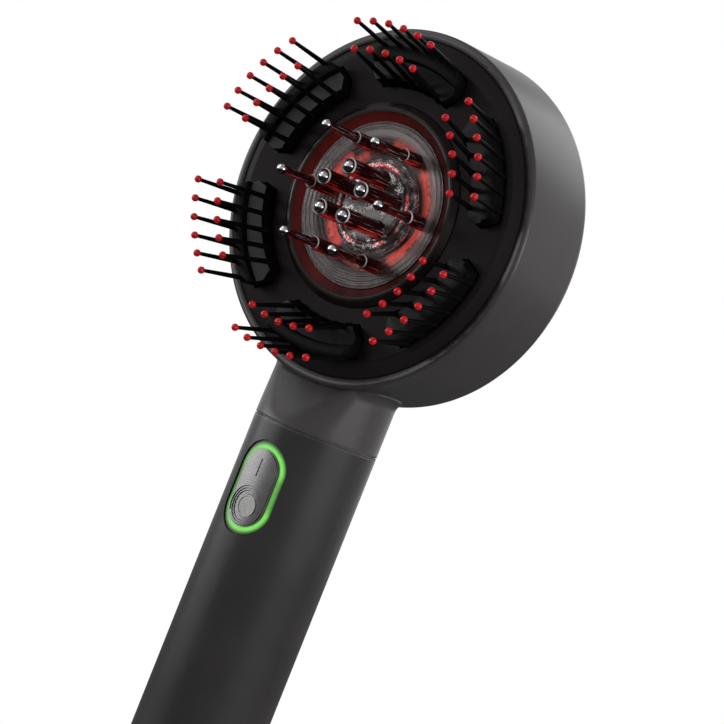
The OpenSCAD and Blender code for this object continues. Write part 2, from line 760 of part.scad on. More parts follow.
module inner_frame() color("#4b4b50") difference() {
    union() {
        translate([0, battery_y, 0]) difference() {
            ring(battery_r + frame_gap, battery_r + frame_gap + frame_t, battery_z - frame_end_t,
                battery_z + battery_len + frame_end_t);
            translate([-frame_reach / 2, -frame_reach, 0])
                cube([frame_reach, frame_reach, head_height]);
        }
        for (z = [battery_z - frame_end_t, battery_z + battery_len + slip_gap]) intersection() {
            rod(frame_r, z, z + frame_end_t - slip_gap);
            translate([-frame_reach / 2, control_board_y + slip_gap, z])
                cube([frame_reach, frame_reach, frame_end_t]);
        }
        for (s = [-1, 1]) intersection() {
            rod(frame_r, 0, head_height);
            translate([s * cheek_x - cheek_t / 2, control_board_y + slip_gap, battery_z + battery_len])
                cube([cheek_t, cheek_depth, control_board_top - battery_z - battery_len]);
        }
    }
    for (s = [-1, 1]) translate([s * cap_screw_x, 0, 0]) rod(screw_hole_r, 0, battery_z + 1);
}

module battery() color("#3f6fa8") translate([0, battery_y, 0]) union() {
    rod(battery_r, battery_z, battery_z + battery_len - terminal_h);
    rod(terminal_r, battery_z + battery_len - 2 * terminal_h, battery_z + battery_len);
}

module control_board() color("#1f5a33")
    translate([-control_board_w / 2, control_board_y - board_t, control_board_top - control_board_len])
        cube([control_board_w, board_t, control_board_len]);

module tact_switch() color("#17171a") union() {
    translate([-switch_w / 2, switch_top + plunger_h, button_z - switch_w / 2])
        cube([switch_w, control_board_y - board_t - switch_top - plunger_h, switch_w]);
    front_rod(plunger_r, switch_top, switch_top + 2 * plunger_h, button_z);
}

module status_leds() color("#9cff9a") for (sx = [-1, 1]) for (sz = [-1, 1])
    translate([sx * green_led_x, control_board_y - board_t - green_led[1] / 2, control_z + sz * green_led_z])
        cube(green_led, center = true);

module light_guide() color("#7dff7a", 0.8) difference() {
    intersection() {
        front_pill(recess_w - 2 * recess_edge - 2 * slip_gap, recess_len - 2 * recess_edge - 2 * slip_gap,
            -handle_r, guide_back);
        rod(handle_r - guide_recess - step_recess, 0, neck_z);
    }
    front_pill(plate_w + 2 * slip_gap, plate_len + 2 * slip_gap, -2 * handle_r, plate_back);
    front_pill(plate_w - 2 * guide_lip, plate_len - 2 * guide_lip, plate_back + guide_floor_t, 0);
    front_rod(button_stem_r + run_gap, -handle_r, 0, button_z);
}

// Hooked stroke cut into the control plate
module stroke_mark() translate([-mark_w / 2, plate_front + mark_depth, mark_z]) rotate([90, 0, 0])
    linear_extrude(2 * mark_depth) union() {
        square([mark_w, mark_len]);
        translate([0, mark_len - mark_w]) square([3 * mark_w, mark_w]);
    }

// Metal plate, curved as the handle is, with a stepped round dish for the button
module control_plate() color("#9a9a9c") difference() {
    union() for (edge = [0, plate_edge]) intersection() {
        front_pill(plate_w - 2 * edge, plate_len - 2 * edge, plate_front - 1, plate_back);
        rod(plate_front_r - plate_edge + edge, 0, neck_z);
    }
    for (i = [1:dish_steps]) difference() {
        front_rod(dish_r - dish_ring_w * (i - 1), plate_front - 1, plate_back - 0.2, button_z);
        rod(plate_front_r - dish_step * i, 0, neck_z);
    }
    front_rod(button_r + run_gap, plate_front - 1, plate_back + 1, button_z);
    stroke_mark();
}

module power_button() color("#a8a8aa") union() {
    difference() {
        front_rod(button_r, button_front, button_back, button_z);
        front_rod(button_r - button_rim, button_front - 1, button_front + button_dip, button_z);
    }
    front_rod(button_stem_r, button_back - eps, switch_top - button_travel - 0.05, button_z);
}

module neck_joiner() color("#505055")
    ring(handle_bore_r - slip_gap - joiner_t, handle_bore_r - slip_gap, neck_z - joiner_len / 2,
        neck_z + joiner_len / 2);

module case_screws() color("#c2c5c9") {
    on_head() for (a = BOSS_ANGLES) at_angle(a) translate([0, boss_circle_r, holder_back])
        screw(holder_t + boss_screw_len);
    for (s = [-1, 1]) translate([s * cap_screw_x, 0, screw_head_h + cap_screw_recess])
        screw(battery_z - screw_head_h - cap_screw_recess - 0.2);
}

module lead_wires() color("#a02020") for (i = [-1:1]) translate([i * wire_pitch, passage_y, 0])
    rod(wire_r, control_board_top + wire_gap, head_height - bore_r + wire_reach);

// ---- what is drawn ----

head_shell();
face_plate();
window_bezel();
glow_ring();
front_lens();
roller_hub();
pin_sleeves();
pin_springs();
led_board();
red_leds();
hub_reflector();
pin_holder();
carrier();
bristle_tips();
dampers();
motor();
motor_shaft();
eccentric_weight();
motor_clamp();
clamp_screws();
handle_tube();
end_cap();
end_seal();
usb_socket();
charge_board();
inner_frame();
battery();
control_board();
tact_switch();
status_leds();
light_guide();
control_plate();
power_button();
neck_joiner();
case_screws();
lead_wires();
for (k = [1:block_count]) bristle_block(k);
for (k = PINS) pin_stem(k);
for (k = PINS) pin_ball(k);
for (k = [1:roller_count]) roller_ball(k);
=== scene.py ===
"""The electric scalp massager's looks: a finish for every piece, the drum, blocks, pins and springs as
finer surfaces, and the floor, lamps and camera. In metres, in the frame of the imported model."""
import math

import bpy
import numpy as np
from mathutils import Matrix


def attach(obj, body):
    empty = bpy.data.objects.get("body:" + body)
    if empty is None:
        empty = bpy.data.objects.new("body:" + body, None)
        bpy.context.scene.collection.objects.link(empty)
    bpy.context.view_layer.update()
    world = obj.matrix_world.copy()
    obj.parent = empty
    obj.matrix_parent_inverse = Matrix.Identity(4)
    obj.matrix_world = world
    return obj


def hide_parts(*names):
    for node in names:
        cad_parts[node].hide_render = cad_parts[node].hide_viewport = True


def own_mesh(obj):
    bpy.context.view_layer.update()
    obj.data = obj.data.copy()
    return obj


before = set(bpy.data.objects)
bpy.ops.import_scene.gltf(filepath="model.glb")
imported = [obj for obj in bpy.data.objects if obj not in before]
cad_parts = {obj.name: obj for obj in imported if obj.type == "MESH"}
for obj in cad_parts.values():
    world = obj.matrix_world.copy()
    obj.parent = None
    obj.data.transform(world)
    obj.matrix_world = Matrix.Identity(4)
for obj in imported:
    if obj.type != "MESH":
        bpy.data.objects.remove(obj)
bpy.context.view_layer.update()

# ---- Handle tube ----
# The grip is a plain round tube, injection moulded in dark charcoal ABS and sprayed with a fine
# satin coat. It slides over the joiner at the neck and has a long recess for the control plate.


class Wire:
    """One output of a shader node. Arithmetic on wires and numbers adds Math nodes."""

    def __init__(self, nodes, socket):
        self.nodes = nodes
        self.socket = socket

    def __add__(self, other):
        return self.nodes.math("ADD", self, other)

    def __sub__(self, other):
        return self.nodes.math("SUBTRACT", self, other)

    def __rsub__(self, other):
        return self.nodes.math("SUBTRACT", other, self)

    def __mul__(self, other):
        return self.nodes.math("MULTIPLY", self, other)

    def __pow__(self, other):
        return self.nodes.math("POWER", self, other)

    def __abs__(self):
        return self.nodes.math("ABSOLUTE", self)

    __radd__ = __add__
    __rmul__ = __mul__


class Nodes:
    """A node tree, to which these methods add nodes."""

    def __init__(self, tree):
        self.tree = tree

    def add(self, kind, settings=None, sockets=None, output=0):
        """A node of this kind: its settings first, then a number, colour or wire for each socket."""
        node = self.tree.nodes.new(kind)
        for name, value in (settings or {}).items():
            setattr(node, name, value)
        for name, value in (sockets or {}).items():
            if isinstance(value, Wire):
                self.tree.links.new(value.socket, node.inputs[name])
            else:
                node.inputs[name].default_value = value
        return Wire(self, node.outputs[output])

    def math(self, operation, *values):
        """The given Math operation on these values, in their order."""
        return self.add("ShaderNodeMath", {"operation": operation}, dict(enumerate(values)))

    def axis(self, vector, name):
        """One number of a vector: X, Y or Z."""
        return self.add("ShaderNodeSeparateXYZ", None, {"Vector": vector}, output=name)

    def axes(self, vector, names):
        """Some numbers of a vector, such as XZ."""
        return (self.axis(vector, name) for name in names)

    def step(self, value, low, high):
        """0 below low, 1 above high and a soft slope between them."""
        return self.add(
            "ShaderNodeMapRange", {"interpolation_type": "SMOOTHSTEP"},
            {"Value": value, "From Min": low, "From Max": high},
        )

    def near(self, value, centre, width):
        """1 where value is at centre, falling to 0 at width on both sides."""
        return 1.0 - self.step(abs(value - centre), 0.0, width)

    def tint(self, share, first, second):
        """A colour between first and second."""
        return self.add("ShaderNodeMix", {"data_type": "RGBA"}, {0: share, 6: first, 7: second}, output=2)

    def end_in_mix(self, share, first, second, ending):
        """Ends the tree in a mix of two shaders, first where share is 0 and second where it is 1."""
        mixed = self.add("ShaderNodeMixShader", None, {0: share, 1: first, 2: second})
        self.tree.links.new(mixed.socket, self.tree.nodes[ending].inputs["Surface"])


class Finish(Nodes):
    """A material: fixed numbers sit on the shader's own sockets, and nodes feed the rest."""

    def __init__(self, name, fixed=None):
        self.material = bpy.data.materials.new(name)
        self.material.use_nodes = True
        super().__init__(self.material.node_tree)
        self.shader = self.tree.nodes["Principled BSDF"]
        for socket, value in (fixed or {}).items():
            self.shader.inputs[socket].default_value = value

    def place(self, origin=(0.0, 0.0, 0.0), scale=(1.0, 1.0, 1.0), turn=(0.0, 0.0, 0.0)):
        """Object coordinates, measured in metres from origin, then stretched and turned."""
        here = self.add("ShaderNodeTexCoord", output="Object")
        moved = self.add("ShaderNodeVectorMath", {"operation": "SUBTRACT"}, {0: here, 1: origin})
        return self.add("ShaderNodeMapping", None, {"Vector": moved, "Scale": scale, "Rotation": turn})

    def away(self, place, names="XZ"):
        """Distance from the line through a place's origin, from the two coordinates across it."""
        first, second = self.axes(place, names)
        return (first * first + second * second) ** 0.5

    def facing(self):
        """Which way the surface faces, as a vector."""
        return self.add("ShaderNodeTexCoord", output="Normal")

    def noise(self, vector, size, detail=2.0):
        """Soft noise whose blobs are about size metres across, from 0 to 1."""
        return self.add(
            "ShaderNodeTexNoise", None,
            {"Vector": vector, "Scale": 1.0 / size, "Detail": detail, "Roughness": 0.55},
        )

    def cells(self, vector, scale, feature="F1"):
        """Distance to the nearest scattered point, or line between two, in cells 1 / scale metres wide."""
        return self.add(
            "ShaderNodeTexVoronoi", {"feature": feature}, {"Vector": vector, "Scale": scale},
            output="Distance",
        )

    def feed(self, **wires):
        """Links wires to the shader's sockets, which are named with _ for each space."""
        for name, wire in wires.items():
            self.tree.links.new(wire.socket, self.shader.inputs[name.replace("_", " ")])

    def dent(self, height, depth):
        """Bumps the surface by height, which runs from 0 to 1, times depth in metres."""
        bump = self.add("ShaderNodeBump", None, {"Height": height, "Distance": depth, "Strength": 1.0})
        self.feed(Normal=bump)

    def cover(self, *names):
        """Puts this material on the named frame nodes."""
        for name in names:
            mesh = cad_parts[name].data
            if len(mesh.materials) == 0:
                mesh.materials.append(self.material)
            for slot in range(len(mesh.materials)):
                mesh.materials[slot] = self.material


def rgb(red, green, blue):
    """An opaque colour."""
    return (red, green, blue, 1.0)


TUBE_ENDS = (0.0033, 0.1154)
RUB_WIDTH = 0.0007
CHARCOAL, WORN_CHARCOAL = rgb(0.0245, 0.0226, 0.0234), rgb(0.034, 0.0314, 0.0325)
RUBBED_EDGE = rgb(0.16, 0.155, 0.155)


def satin_coat(name, colour, worn, edges, level=0.16, sheen_rough=0.32):
    """Sprayed soft satin paint: a fine orange peel, faint cloudy handling marks, and paler rubbed
    edges where height is near one of the given edges."""
    coat = Finish(name, {"Specular IOR Level": level})
    here = coat.place()
    clouds = coat.noise(here, 0.018, 3.0)
    peel = coat.noise(here, 0.00045)
    flecks = coat.noise(here, 0.00012, 1.0)
    height = coat.axis(here, "Z")
    rub = 0.0
    for edge in edges:
        rub = coat.math("MAXIMUM", rub, coat.near(height, edge, RUB_WIDTH))
    rub = rub * coat.step(clouds + 0.3 * peel, 0.45, 0.8)
    shade = coat.tint(coat.step(clouds, 0.25, 0.75) * 0.6 + flecks * 0.4, colour, worn)
    coat.feed(
        Base_Color=coat.tint(rub * 0.5, shade, RUBBED_EDGE),
        Roughness=sheen_rough + 0.1 * (clouds - 0.5) + 0.08 * (peel - 0.5) - 0.08 * rub,
    )
    coat.dent(0.7 * peel + 0.3 * flecks, 0.000012)
    return coat


handle_coat = satin_coat("handle coat", CHARCOAL, WORN_CHARCOAL, TUBE_ENDS)
handle_coat.cover("handle_tube")

# ---- End cap, its seal and the charging inlet ----
# The cap is moulded in the same charcoal ABS and pushed into the tube's foot over a rubber ring.
# The inlet's shell is drawn steel round a black tongue with gilded contacts.

CAP_EDGES = (0.0012, 0.003)
INLET_CENTRE = (0.0, 0.0065, 0.0)
TONGUE_HALF, CONTACT_PITCH = 0.00037, 0.00025

cap_coat = satin_coat("cap coat", CHARCOAL, WORN_CHARCOAL, CAP_EDGES, sheen_rough=0.4)
cap_coat.cover("end_cap")

seal_rubber = Finish("seal rubber", {"Specular IOR Level": 0.3})
seal_dust = seal_rubber.noise(seal_rubber.place(), 0.0012, 4.0)
seal_rubber.feed(
    Base_Color=seal_rubber.tint(seal_dust, rgb(0.008, 0.008, 0.009), rgb(0.022, 0.021, 0.02)),
    Roughness=0.6 + 0.2 * seal_dust,
)
seal_rubber.dent(seal_dust, 0.00004)
seal_rubber.cover("end_seal")

inlet_steel = Finish("inlet steel")
inlet_place = inlet_steel.place(INLET_CENTRE)
draw_marks = inlet_steel.noise(inlet_steel.place(INLET_CENTRE, (1.0, 1.0, 0.05)), 0.00012, 3.0)
tongue = inlet_steel.step(TONGUE_HALF - abs(inlet_steel.axis(inlet_place, "Y")), 0.0, 0.00002)
contact = inlet_steel.step(
    inlet_steel.math("PINGPONG", inlet_steel.axis(inlet_place, "X"), CONTACT_PITCH), 0.0001, 0.00014
)
steel_shade = inlet_steel.tint(draw_marks, rgb(0.42, 0.42, 0.43), rgb(0.6, 0.6, 0.6))
steel_or_black = inlet_steel.tint(tongue, steel_shade, rgb(0.01, 0.01, 0.011))
inlet_steel.feed(
    Base_Color=inlet_steel.tint(tongue * contact, steel_or_black, rgb(0.72, 0.5, 0.2)),
    Metallic=1.0 - tongue * (1.0 - contact),
    Roughness=0.2 + 0.2 * draw_marks + 0.2 * tongue,
)
inlet_steel.dent(draw_marks, 0.000008)
inlet_steel.cover("usb_socket")

# ---- Works inside the handle and head ----
# Two circuit boards with solder mask and tinned pads, a lithium cell in a blue sleeve, the
# wires to the head and steel screws. The frame that holds the cell, the neck's joiner, the head's
# pin holder, carrier and motor clamp and the button's switch are moulded in the same dark plastic.

CELL_FOOT = (0.0, 0.0026, 0.012)
SLEEVE_END, CELL_SHOULDER = 0.0632, 0.0636
LANE_EDGE, NEXT_LANE_EDGE = 0.0012, 0.0016

board_mask = Finish("board mask")
board_place = board_mask.place()
pads = 1.0 - board_mask.step(board_mask.cells(board_place, 330.0), 0.22, 0.26)
tracks = board_mask.near(board_mask.cells(board_place, 420.0, "DISTANCE_TO_EDGE"), 0.0, 0.06)
mask_shade = board_mask.tint(tracks, rgb(0.012, 0.07, 0.028), rgb(0.03, 0.14, 0.06))
board_mask.feed(
    Base_Color=board_mask.tint(pads, mask_shade, rgb(0.55, 0.55, 0.53)),
    Metallic=pads,
    Roughness=0.35 - 0.1 * pads,
)
board_mask.dent(tracks + pads, 0.00003)
board_mask.cover("charge_board", "control_board")


def moulded(name, dark, pale, roughness, level=0.35, grain_size=0.0003):
    """Plain moulded plastic: a fine spark-eroded grain and slow flow clouds."""
    plastic = Finish(name, {"Specular IOR Level": level})
    here = plastic.place()
    flow = plastic.noise(here, 0.012, 3.0)
    grain = plastic.noise(here, grain_size)
    plastic.feed(
        Base_Color=plastic.tint(0.6 * flow + 0.4 * grain, dark, pale),
        Roughness=roughness + 0.12 * (grain - 0.5) + 0.1 * (flow - 0.5),
    )
    plastic.dent(grain, 0.00002)
    return plastic


inner_plastic = moulded("inner plastic", rgb(0.03, 0.03, 0.034), rgb(0.06, 0.06, 0.066), 0.5)
inner_plastic.cover("inner_frame", "neck_joiner", "pin_holder", "carrier", "motor_clamp", "tact_switch")

cell_sleeve = Finish("cell sleeve", {"Coat Roughness": 0.2})
cell_height = cell_sleeve.axis(cell_sleeve.place(CELL_FOOT), "Z")
sleeved = 1.0 - cell_sleeve.step(cell_height, SLEEVE_END, CELL_SHOULDER)
cell_crease = cell_sleeve.noise(cell_sleeve.place(scale=(1.0, 1.0, 0.15)), 0.002, 3.0)
sleeve_blue = cell_sleeve.tint(cell_crease, rgb(0.03, 0.09, 0.2), rgb(0.06, 0.16, 0.33))
cell_sleeve.feed(
    Base_Color=cell_sleeve.tint(sleeved, rgb(0.6, 0.6, 0.6), sleeve_blue),
    Metallic=1.0 - sleeved,
    Roughness=0.3 + 0.2 * cell_crease,
)
cell_sleeve.dent(cell_crease, 0.00008)
cell_sleeve.cover("battery")

wire_jacket = Finish("wire jacket", {"Specular IOR Level": 0.4})
wire_place = wire_jacket.place()
wire_lane = wire_jacket.axis(wire_place, "X")
wire_scuff = wire_jacket.noise(wire_place, 0.0008, 3.0)
red_or_black = wire_jacket.tint(
    wire_jacket.step(wire_lane, LANE_EDGE, NEXT_LANE_EDGE),
    rgb(0.35, 0.02, 0.015), rgb(0.012, 0.012, 0.013),
)
any_lane = wire_jacket.tint(
    wire_jacket.step(wire_lane, -NEXT_LANE_EDGE, -LANE_EDGE), rgb(0.5, 0.35, 0.02), red_or_black
)
wire_jacket.feed(
    Base_Color=wire_jacket.tint(0.25 * wire_scuff, any_lane, rgb(0.2, 0.2, 0.2)),
    Roughness=0.4 + 0.2 * wire_scuff,
)
wire_jacket.dent(wire_scuff, 0.00002)
wire_jacket.cover("lead_wires")


def bright_metal(name, dark, pale, roughness, streak=(1.0, 1.0, 1.0)):
    """Worked metal: fine scratches, drawn out along the axis where streak is small, and a slight
    stain."""
    metal = Finish(name, {"Metallic": 1.0})
    scratches = metal.noise(metal.place(scale=streak), 0.0004, 4.0)
    stain = metal.noise(metal.place(), 0.006)
    metal.feed(
        Base_Color=metal.tint(0.5 * scratches + 0.5 * stain, dark, pale),
        Roughness=roughness + 0.12 * (scratches - 0.5) + 0.08 * (stain - 0.5),
    )
    metal.dent(scratches, 0.000004)
    return metal


screw_steel = bright_metal("screw steel", rgb(0.3, 0.3, 0.31), rgb(0.52, 0.52, 0.53), 0.32)
screw_steel.cover("case_screws", "clamp_screws")

# ---- Control: glowing surround, metal plate and round button ----
# A pill of satin metal, turned with stepped rings round its button and engraved with a stroke,
# stands in a clear green surround that four small lamps behind it light up.

PLATE_CENTRE = (0.0, -0.01545, 0.09915)
BUTTON_CENTRE = (0.0, -0.01545, 0.0946)
STRAIGHT_HALF = 0.00435
GUIDE_MIDDLE, GUIDE_HALF = 0.00575, 0.00115
# Radii of the dish's step corners, and the half width of the painted shade line at each.
DISH_EDGES, STEP_SHADE_HALF = (0.00475, 0.0042, 0.00365), 0.00011
TURNING_WAVES = 42000.0  # radians in a metre: a ring every 0.15 mm

guide_glow = Finish("guide glow", {"Specular IOR Level": 0.2, "Emission Strength": 1.0})
guide_place = guide_glow.place(PLATE_CENTRE)
guide_mottle = guide_glow.noise(guide_place, 0.0016, 3.0)
guide_across = guide_glow.axis(guide_place, "X")
guide_height = abs(guide_glow.axis(guide_place, "Z"))
# Distance from the pill's straight centre line: sqrt(x^2 + max(|z| - half, 0)^2)
past_straight = guide_glow.math("MAXIMUM", guide_height - STRAIGHT_HALF, 0.0)
pill_distance = (guide_across * guide_across + past_straight * past_straight) ** 0.5
guide_band = guide_glow.near(pill_distance, GUIDE_MIDDLE, GUIDE_HALF)
# The surround glows most at its two ends, beside the lamps, and less along its left side.
end_light = 0.5 + 0.5 * guide_glow.step(guide_height, 0.0025, 0.0055)
side_light = 0.45 + 0.55 * guide_glow.step(guide_across, -0.0062, -0.0005)
glow_share = guide_band * (end_light * side_light) * (0.8 + 0.4 * guide_mottle)
guide_glow.feed(
    Base_Color=guide_glow.tint(guide_mottle, rgb(0.03, 0.06, 0.025), rgb(0.05, 0.09, 0.04)),
    Emission_Color=guide_glow.tint(glow_share, rgb(0.012, 0.03, 0.01), rgb(0.2, 0.74, 0.11)),
    Roughness=0.3 + 0.2 * guide_mottle,
)
guide_glow.dent(guide_mottle, 0.00003)
guide_glow.cover("light_guide")

green_chips = Finish("green chips", {"Emission Strength": 3.0, "Roughness": 0.3})
chip_cloud = green_chips.noise(green_chips.place(), 0.0004)
green_chips.feed(
    Base_Color=green_chips.tint(chip_cloud, rgb(0.5, 0.7, 0.4), rgb(0.7, 0.8, 0.6)),
    Emission_Color=green_chips.tint(chip_cloud, rgb(0.1, 0.7, 0.08), rgb(0.4, 1.0, 0.3)),
)
green_chips.cover("status_leds")


def ring_turned(name, dark, pale, roughness, edges=()):
    """Metal faced on a lathe: fine rings about the button's centre, and dark lines of painted shade in
    the corners of the steps, at the given radii in metres."""
    metal = Finish(name, {"Metallic": 1.0})
    here = metal.place(BUTTON_CENTRE)
    away = metal.away(here)
    rings = metal.math("SINE", away * TURNING_WAVES + 2.0 * metal.noise(here, 0.001))
    fog = metal.noise(here, 0.0035, 3.0)
    grain = metal.noise(here, 0.00008)
    tone = metal.tint(0.65 * fog + 0.35 * grain, dark, pale)
    for edge in edges:
        # Painted shade: a dark line in the corner of each step.
        tone = metal.tint(0.75 * metal.near(away, edge, STEP_SHADE_HALF), tone, rgb(0.01, 0.01, 0.01))
    metal.feed(Base_Color=tone, Roughness=roughness + 0.1 * (fog - 0.5) + 0.03 * rings)
    metal.dent(0.5 + 0.5 * rings * grain, 0.0000035)
    return metal


plate_metal = ring_turned(
    "plate metal", rgb(0.09, 0.088, 0.088), rgb(0.16, 0.157, 0.156), 0.36, DISH_EDGES
)
plate_metal.cover("control_plate")
button_metal = ring_turned("button metal", rgb(0.1, 0.1, 0.098), rgb(0.165, 0.165, 0.162), 0.34)
button_metal.cover("power_button")

# ---- Drum and neck shell ----
# One deep moulding: the drum with its soft rounded back, six posts for the dampers on its floor,
# and the neck, whose front bends back under the rim. Sprayed in a paler satin than the handle.

# In millimetres. The rim lies in front of the handle's axis, and the head's centre above its end.
RIM_FORWARD, HEAD_HEIGHT = 11.1, 171.0
RIM_CENTRE = (0.0, -RIM_FORWARD / 1000.0, HEAD_HEIGHT / 1000.0)
HEAD_AXIS = [(0.0, 0.0)]
DRUM_RADIUS, DRUM_DEPTH, DRUM_WALL = 43.7, 27.5, 2.3
BORE_RADIUS = DRUM_RADIUS - DRUM_WALL
BACK_REACH, BACK_DROP, RIM_ROUND, BORE_CHAMFER = 12.0, 5.6, 1.0, 0.2
POLE_RADIUS = 3.0
POST_RING = [(33.1, 30.0 + 60.0 * k) for k in range(6)]
POST_RADIUS, PEG_RADIUS = 2.6, 1.0
POST_FOOT, POST_TOP, PEG_TOP = -25.4, -10.0, -6.2
NECK_RADIUS, NECK_FOOT, NECK_OVERLAP = 15.45, 115.7, 1.2
NECK_BORE, BORE_SHIFT = 10.5, 2.7
SEAM_RADIUS, SEAM_FLOOR, SEAM_ROUND = 15.15, 115.5, 0.18
JOINER_RADIUS, JOINER_TOP = 13.45, 119.05
BEND_ROUND, BEND_SLOPE, BEND_CORNER, BEND_MOST = 1.6, 0.6, 1.7, 6.1
FLARE_RADIUS, FLARE_SHARE = 2.4, 0.7

shell_coat = satin_coat(
    "shell coat", rgb(0.0425, 0.0387, 0.0405), rgb(0.054, 0.0495, 0.0517), (NECK_FOOT / 1000.0,),
    level=0.2, sheen_rough=0.34,
)


def on_head(radius, height, angle):
    """Points in metres from the radius and height in millimetres and the angle in degrees, clockwise
    from the top of the head: x = r sin a, y = -h from the rim, z = r cos a from the centre."""
    turn = np.radians(angle)
    return np.stack(
        [radius * np.sin(turn), -np.asarray(height) + 0.0 * turn, radius * np.cos(turn)], axis=-1
    ) / 1000.0 + np.array(RIM_CENTRE)


def loft(rings, closed=False):
    """Skin over rows of closed rings, shape (rows, rings, places, 3): its points, and arrays of the
    point numbers of its faces. Place j of ring i joins place j of ring i + 1 and the next place round.
    The two end rings are closed by flat faces, or joined to each other where the row is closed."""
    rows, count, places, _ = rings.shape
    index = np.arange(rows * count * places).reshape(rows, count, places)
    ends = np.concatenate([index[:, 0, ::-1], index[:, -1]])
    if closed:
        index = np.concatenate([index, index[:, :1]], axis=1)
    ahead = np.roll(index, -1, axis=2)
    walls = np.stack([index[:, :-1], ahead[:, :-1], ahead[:, 1:], index[:, 1:]], axis=-1).reshape(-1, 4)
    return rings.reshape(-1, 3), [walls] if closed else [walls, ends]


def added(name, data):
    """A new object in the scene for this mesh, lamp or camera."""
    thing = bpy.data.objects.new(name, data)
    bpy.context.scene.collection.objects.link(thing)
    return thing


def piece(name, parts, finish, bevel=0.0, smooth_below=40.0):
    """One object from several lofts. It has rounded edges, or else sharp ones where faces meet at
    more than an angle in degrees."""
    points, faces, count = [], [], 0
    for some_points, some_faces in parts:
        points.append(some_points)
        for corners in some_faces:
            faces += (corners + count).tolist()
        count += len(some_points)
    mesh = bpy.data.meshes.new(name)
    mesh.from_pydata(np.concatenate(points).tolist(), [], faces)
    mesh.materials.append(finish.material)
    mesh.shade_smooth()
    thing = added(name, mesh)
    if bevel:
        rounding = thing.modifiers.new("edge rounding", "BEVEL")
        rounding.width = bevel
        rounding.segments = 2
        rounding.limit_method = "ANGLE"
        rounding.angle_limit = math.radians(35.0)
    else:
        mesh.set_sharp_from_angle(angle=math.radians(smooth_below))
    return thing


def lathe(profile, centres, facets):
    """Rings turned about axes that stand on the rim plane: profile rows are radius and height in mm,
    centres are radius and angle of each axis on the head. At the angle t a ring's point lies
    -r sin t across and r cos t up from its centre."""
    profile, centres = np.array(profile, dtype=float), np.array(centres, dtype=float)
    turn = np.linspace(0.0, 2 * np.pi, facets, endpoint=False)
    height = profile[:, 1]
    middle = on_head(centres[:, :1] + 0.0 * height, height, centres[:, 1:])
    spoke = np.stack([-np.sin(turn), 0.0 * turn, np.cos(turn)], axis=-1) / 1000.0
    return middle[:, :, None] + profile[:, :1, None] * spoke


def arc(centre, reach, start, stop, steps):
    """Radius and height pairs on an elliptic arc: centre + reach * (cos a, sin a)."""
    a = np.radians(np.linspace(start, stop, steps))
    return np.stack([centre[0] + reach[0] * np.cos(a), centre[1] + reach[1] * np.sin(a)], axis=-1)


def neck_rings(places=128, foot_share=0.012):
    """The neck as closed rings about the handle's axis, z up, where b is the angle from the front, and
    q, m, k, R and H are BEND_ROUND, BEND_SLOPE, BEND_CORNER, NECK_RADIUS and HEAD_HEIGHT. With the
    bend d(h) = sqrt(q^2 + (m h)^2) - q, the front at height h lies at R - d, and corners of radius
    R - k d blend it into the round sides: x = sqrt(2k - 1) d sign(b) + (R - k d) sin b and
    y = -((k - 1) d + (R - k d) cos b) for |b| below the angle where both meet. It ends just above
    z = H - sqrt(D(y)^2 - x^2), inside the drum, whose radius D falls on the rounded back. Beside the
    drum the sides flare out on a small quarter round."""
    b = np.linspace(-np.pi, np.pi, places, endpoint=False) + np.pi / places
    share = np.concatenate(
        [[0.0, 0.004, foot_share], np.linspace(0.04, 0.7, 14), np.linspace(0.73, 1.0, 14)]
    )
    corner_shift = math.sqrt(2 * BEND_CORNER - 1)
    front = np.abs(b) < math.atan2(corner_shift, BEND_CORNER - 1)

    def section(height):
        bend = np.minimum(np.sqrt(BEND_ROUND**2 + (BEND_SLOPE * height) ** 2) - BEND_ROUND, BEND_MOST)
        radius = NECK_RADIUS - np.where(front, BEND_CORNER * bend, 0.0)
        x = np.where(front, corner_shift * bend * np.sign(b), 0.0) + radius * np.sin(b)
        y = -np.where(front, (BEND_CORNER - 1) * bend, 0.0) - radius * np.cos(b)
        return x, y

    def eased(low, high):
        """0 where b is less than low degrees from the front, 1 past high, a soft slope between."""
        part = np.clip((np.abs(b) - math.radians(low)) / math.radians(high - low), 0.0, 1.0)
        return part * part * (3 - 2 * part)

    def level_ring(radius, level, shift=0.0):
        return np.stack([radius * np.sin(b), shift - radius * np.cos(b), level + 0.0 * b], axis=-1)

    join = HEAD_HEIGHT - DRUM_RADIUS + 0.0 * b
    round_start = DRUM_DEPTH - BACK_DROP - RIM_FORWARD
    for _ in range(6):
        x, y = section(join - NECK_FOOT)
        round_back = np.clip((y - round_start) / BACK_DROP, 0.0, 1.0)
        drum = DRUM_RADIUS - BACK_REACH * (1.0 - np.sqrt(1.0 - round_back**2))
        join = HEAD_HEIGHT - np.sqrt(drum**2 - x * x)
    top = join + NECK_OVERLAP
    height = NECK_FOOT + share[:, None] * (top - NECK_FOOT)
    x, y = section(height - NECK_FOOT)
    inside = np.clip(FLARE_RADIUS - (join - height), 0.0, FLARE_RADIUS)
    quarter = FLARE_RADIUS - np.sqrt(FLARE_RADIUS**2 - inside**2)
    flare = eased(35.0, 85.0) * (1.0 - eased(100.0, 145.0)) * quarter * FLARE_SHARE
    grown = flare - SEAM_ROUND * (1.0 - np.clip(share / foot_share, 0.0, 1.0) ** 0.5)[:, None]
    outer = np.stack([x + grown * np.sin(b), y - grown * np.cos(b), height], axis=-1)
    inner = [
        level_ring(NECK_BORE, top, BORE_SHIFT), level_ring(NECK_BORE, JOINER_TOP, BORE_SHIFT),
        level_ring(JOINER_RADIUS, JOINER_TOP), level_ring(JOINER_RADIUS, SEAM_FLOOR),
        level_ring(SEAM_RADIUS, SEAM_FLOOR), level_ring(SEAM_RADIUS, NECK_FOOT),
    ]
    return np.concatenate([outer, inner])[None] / 1000.0


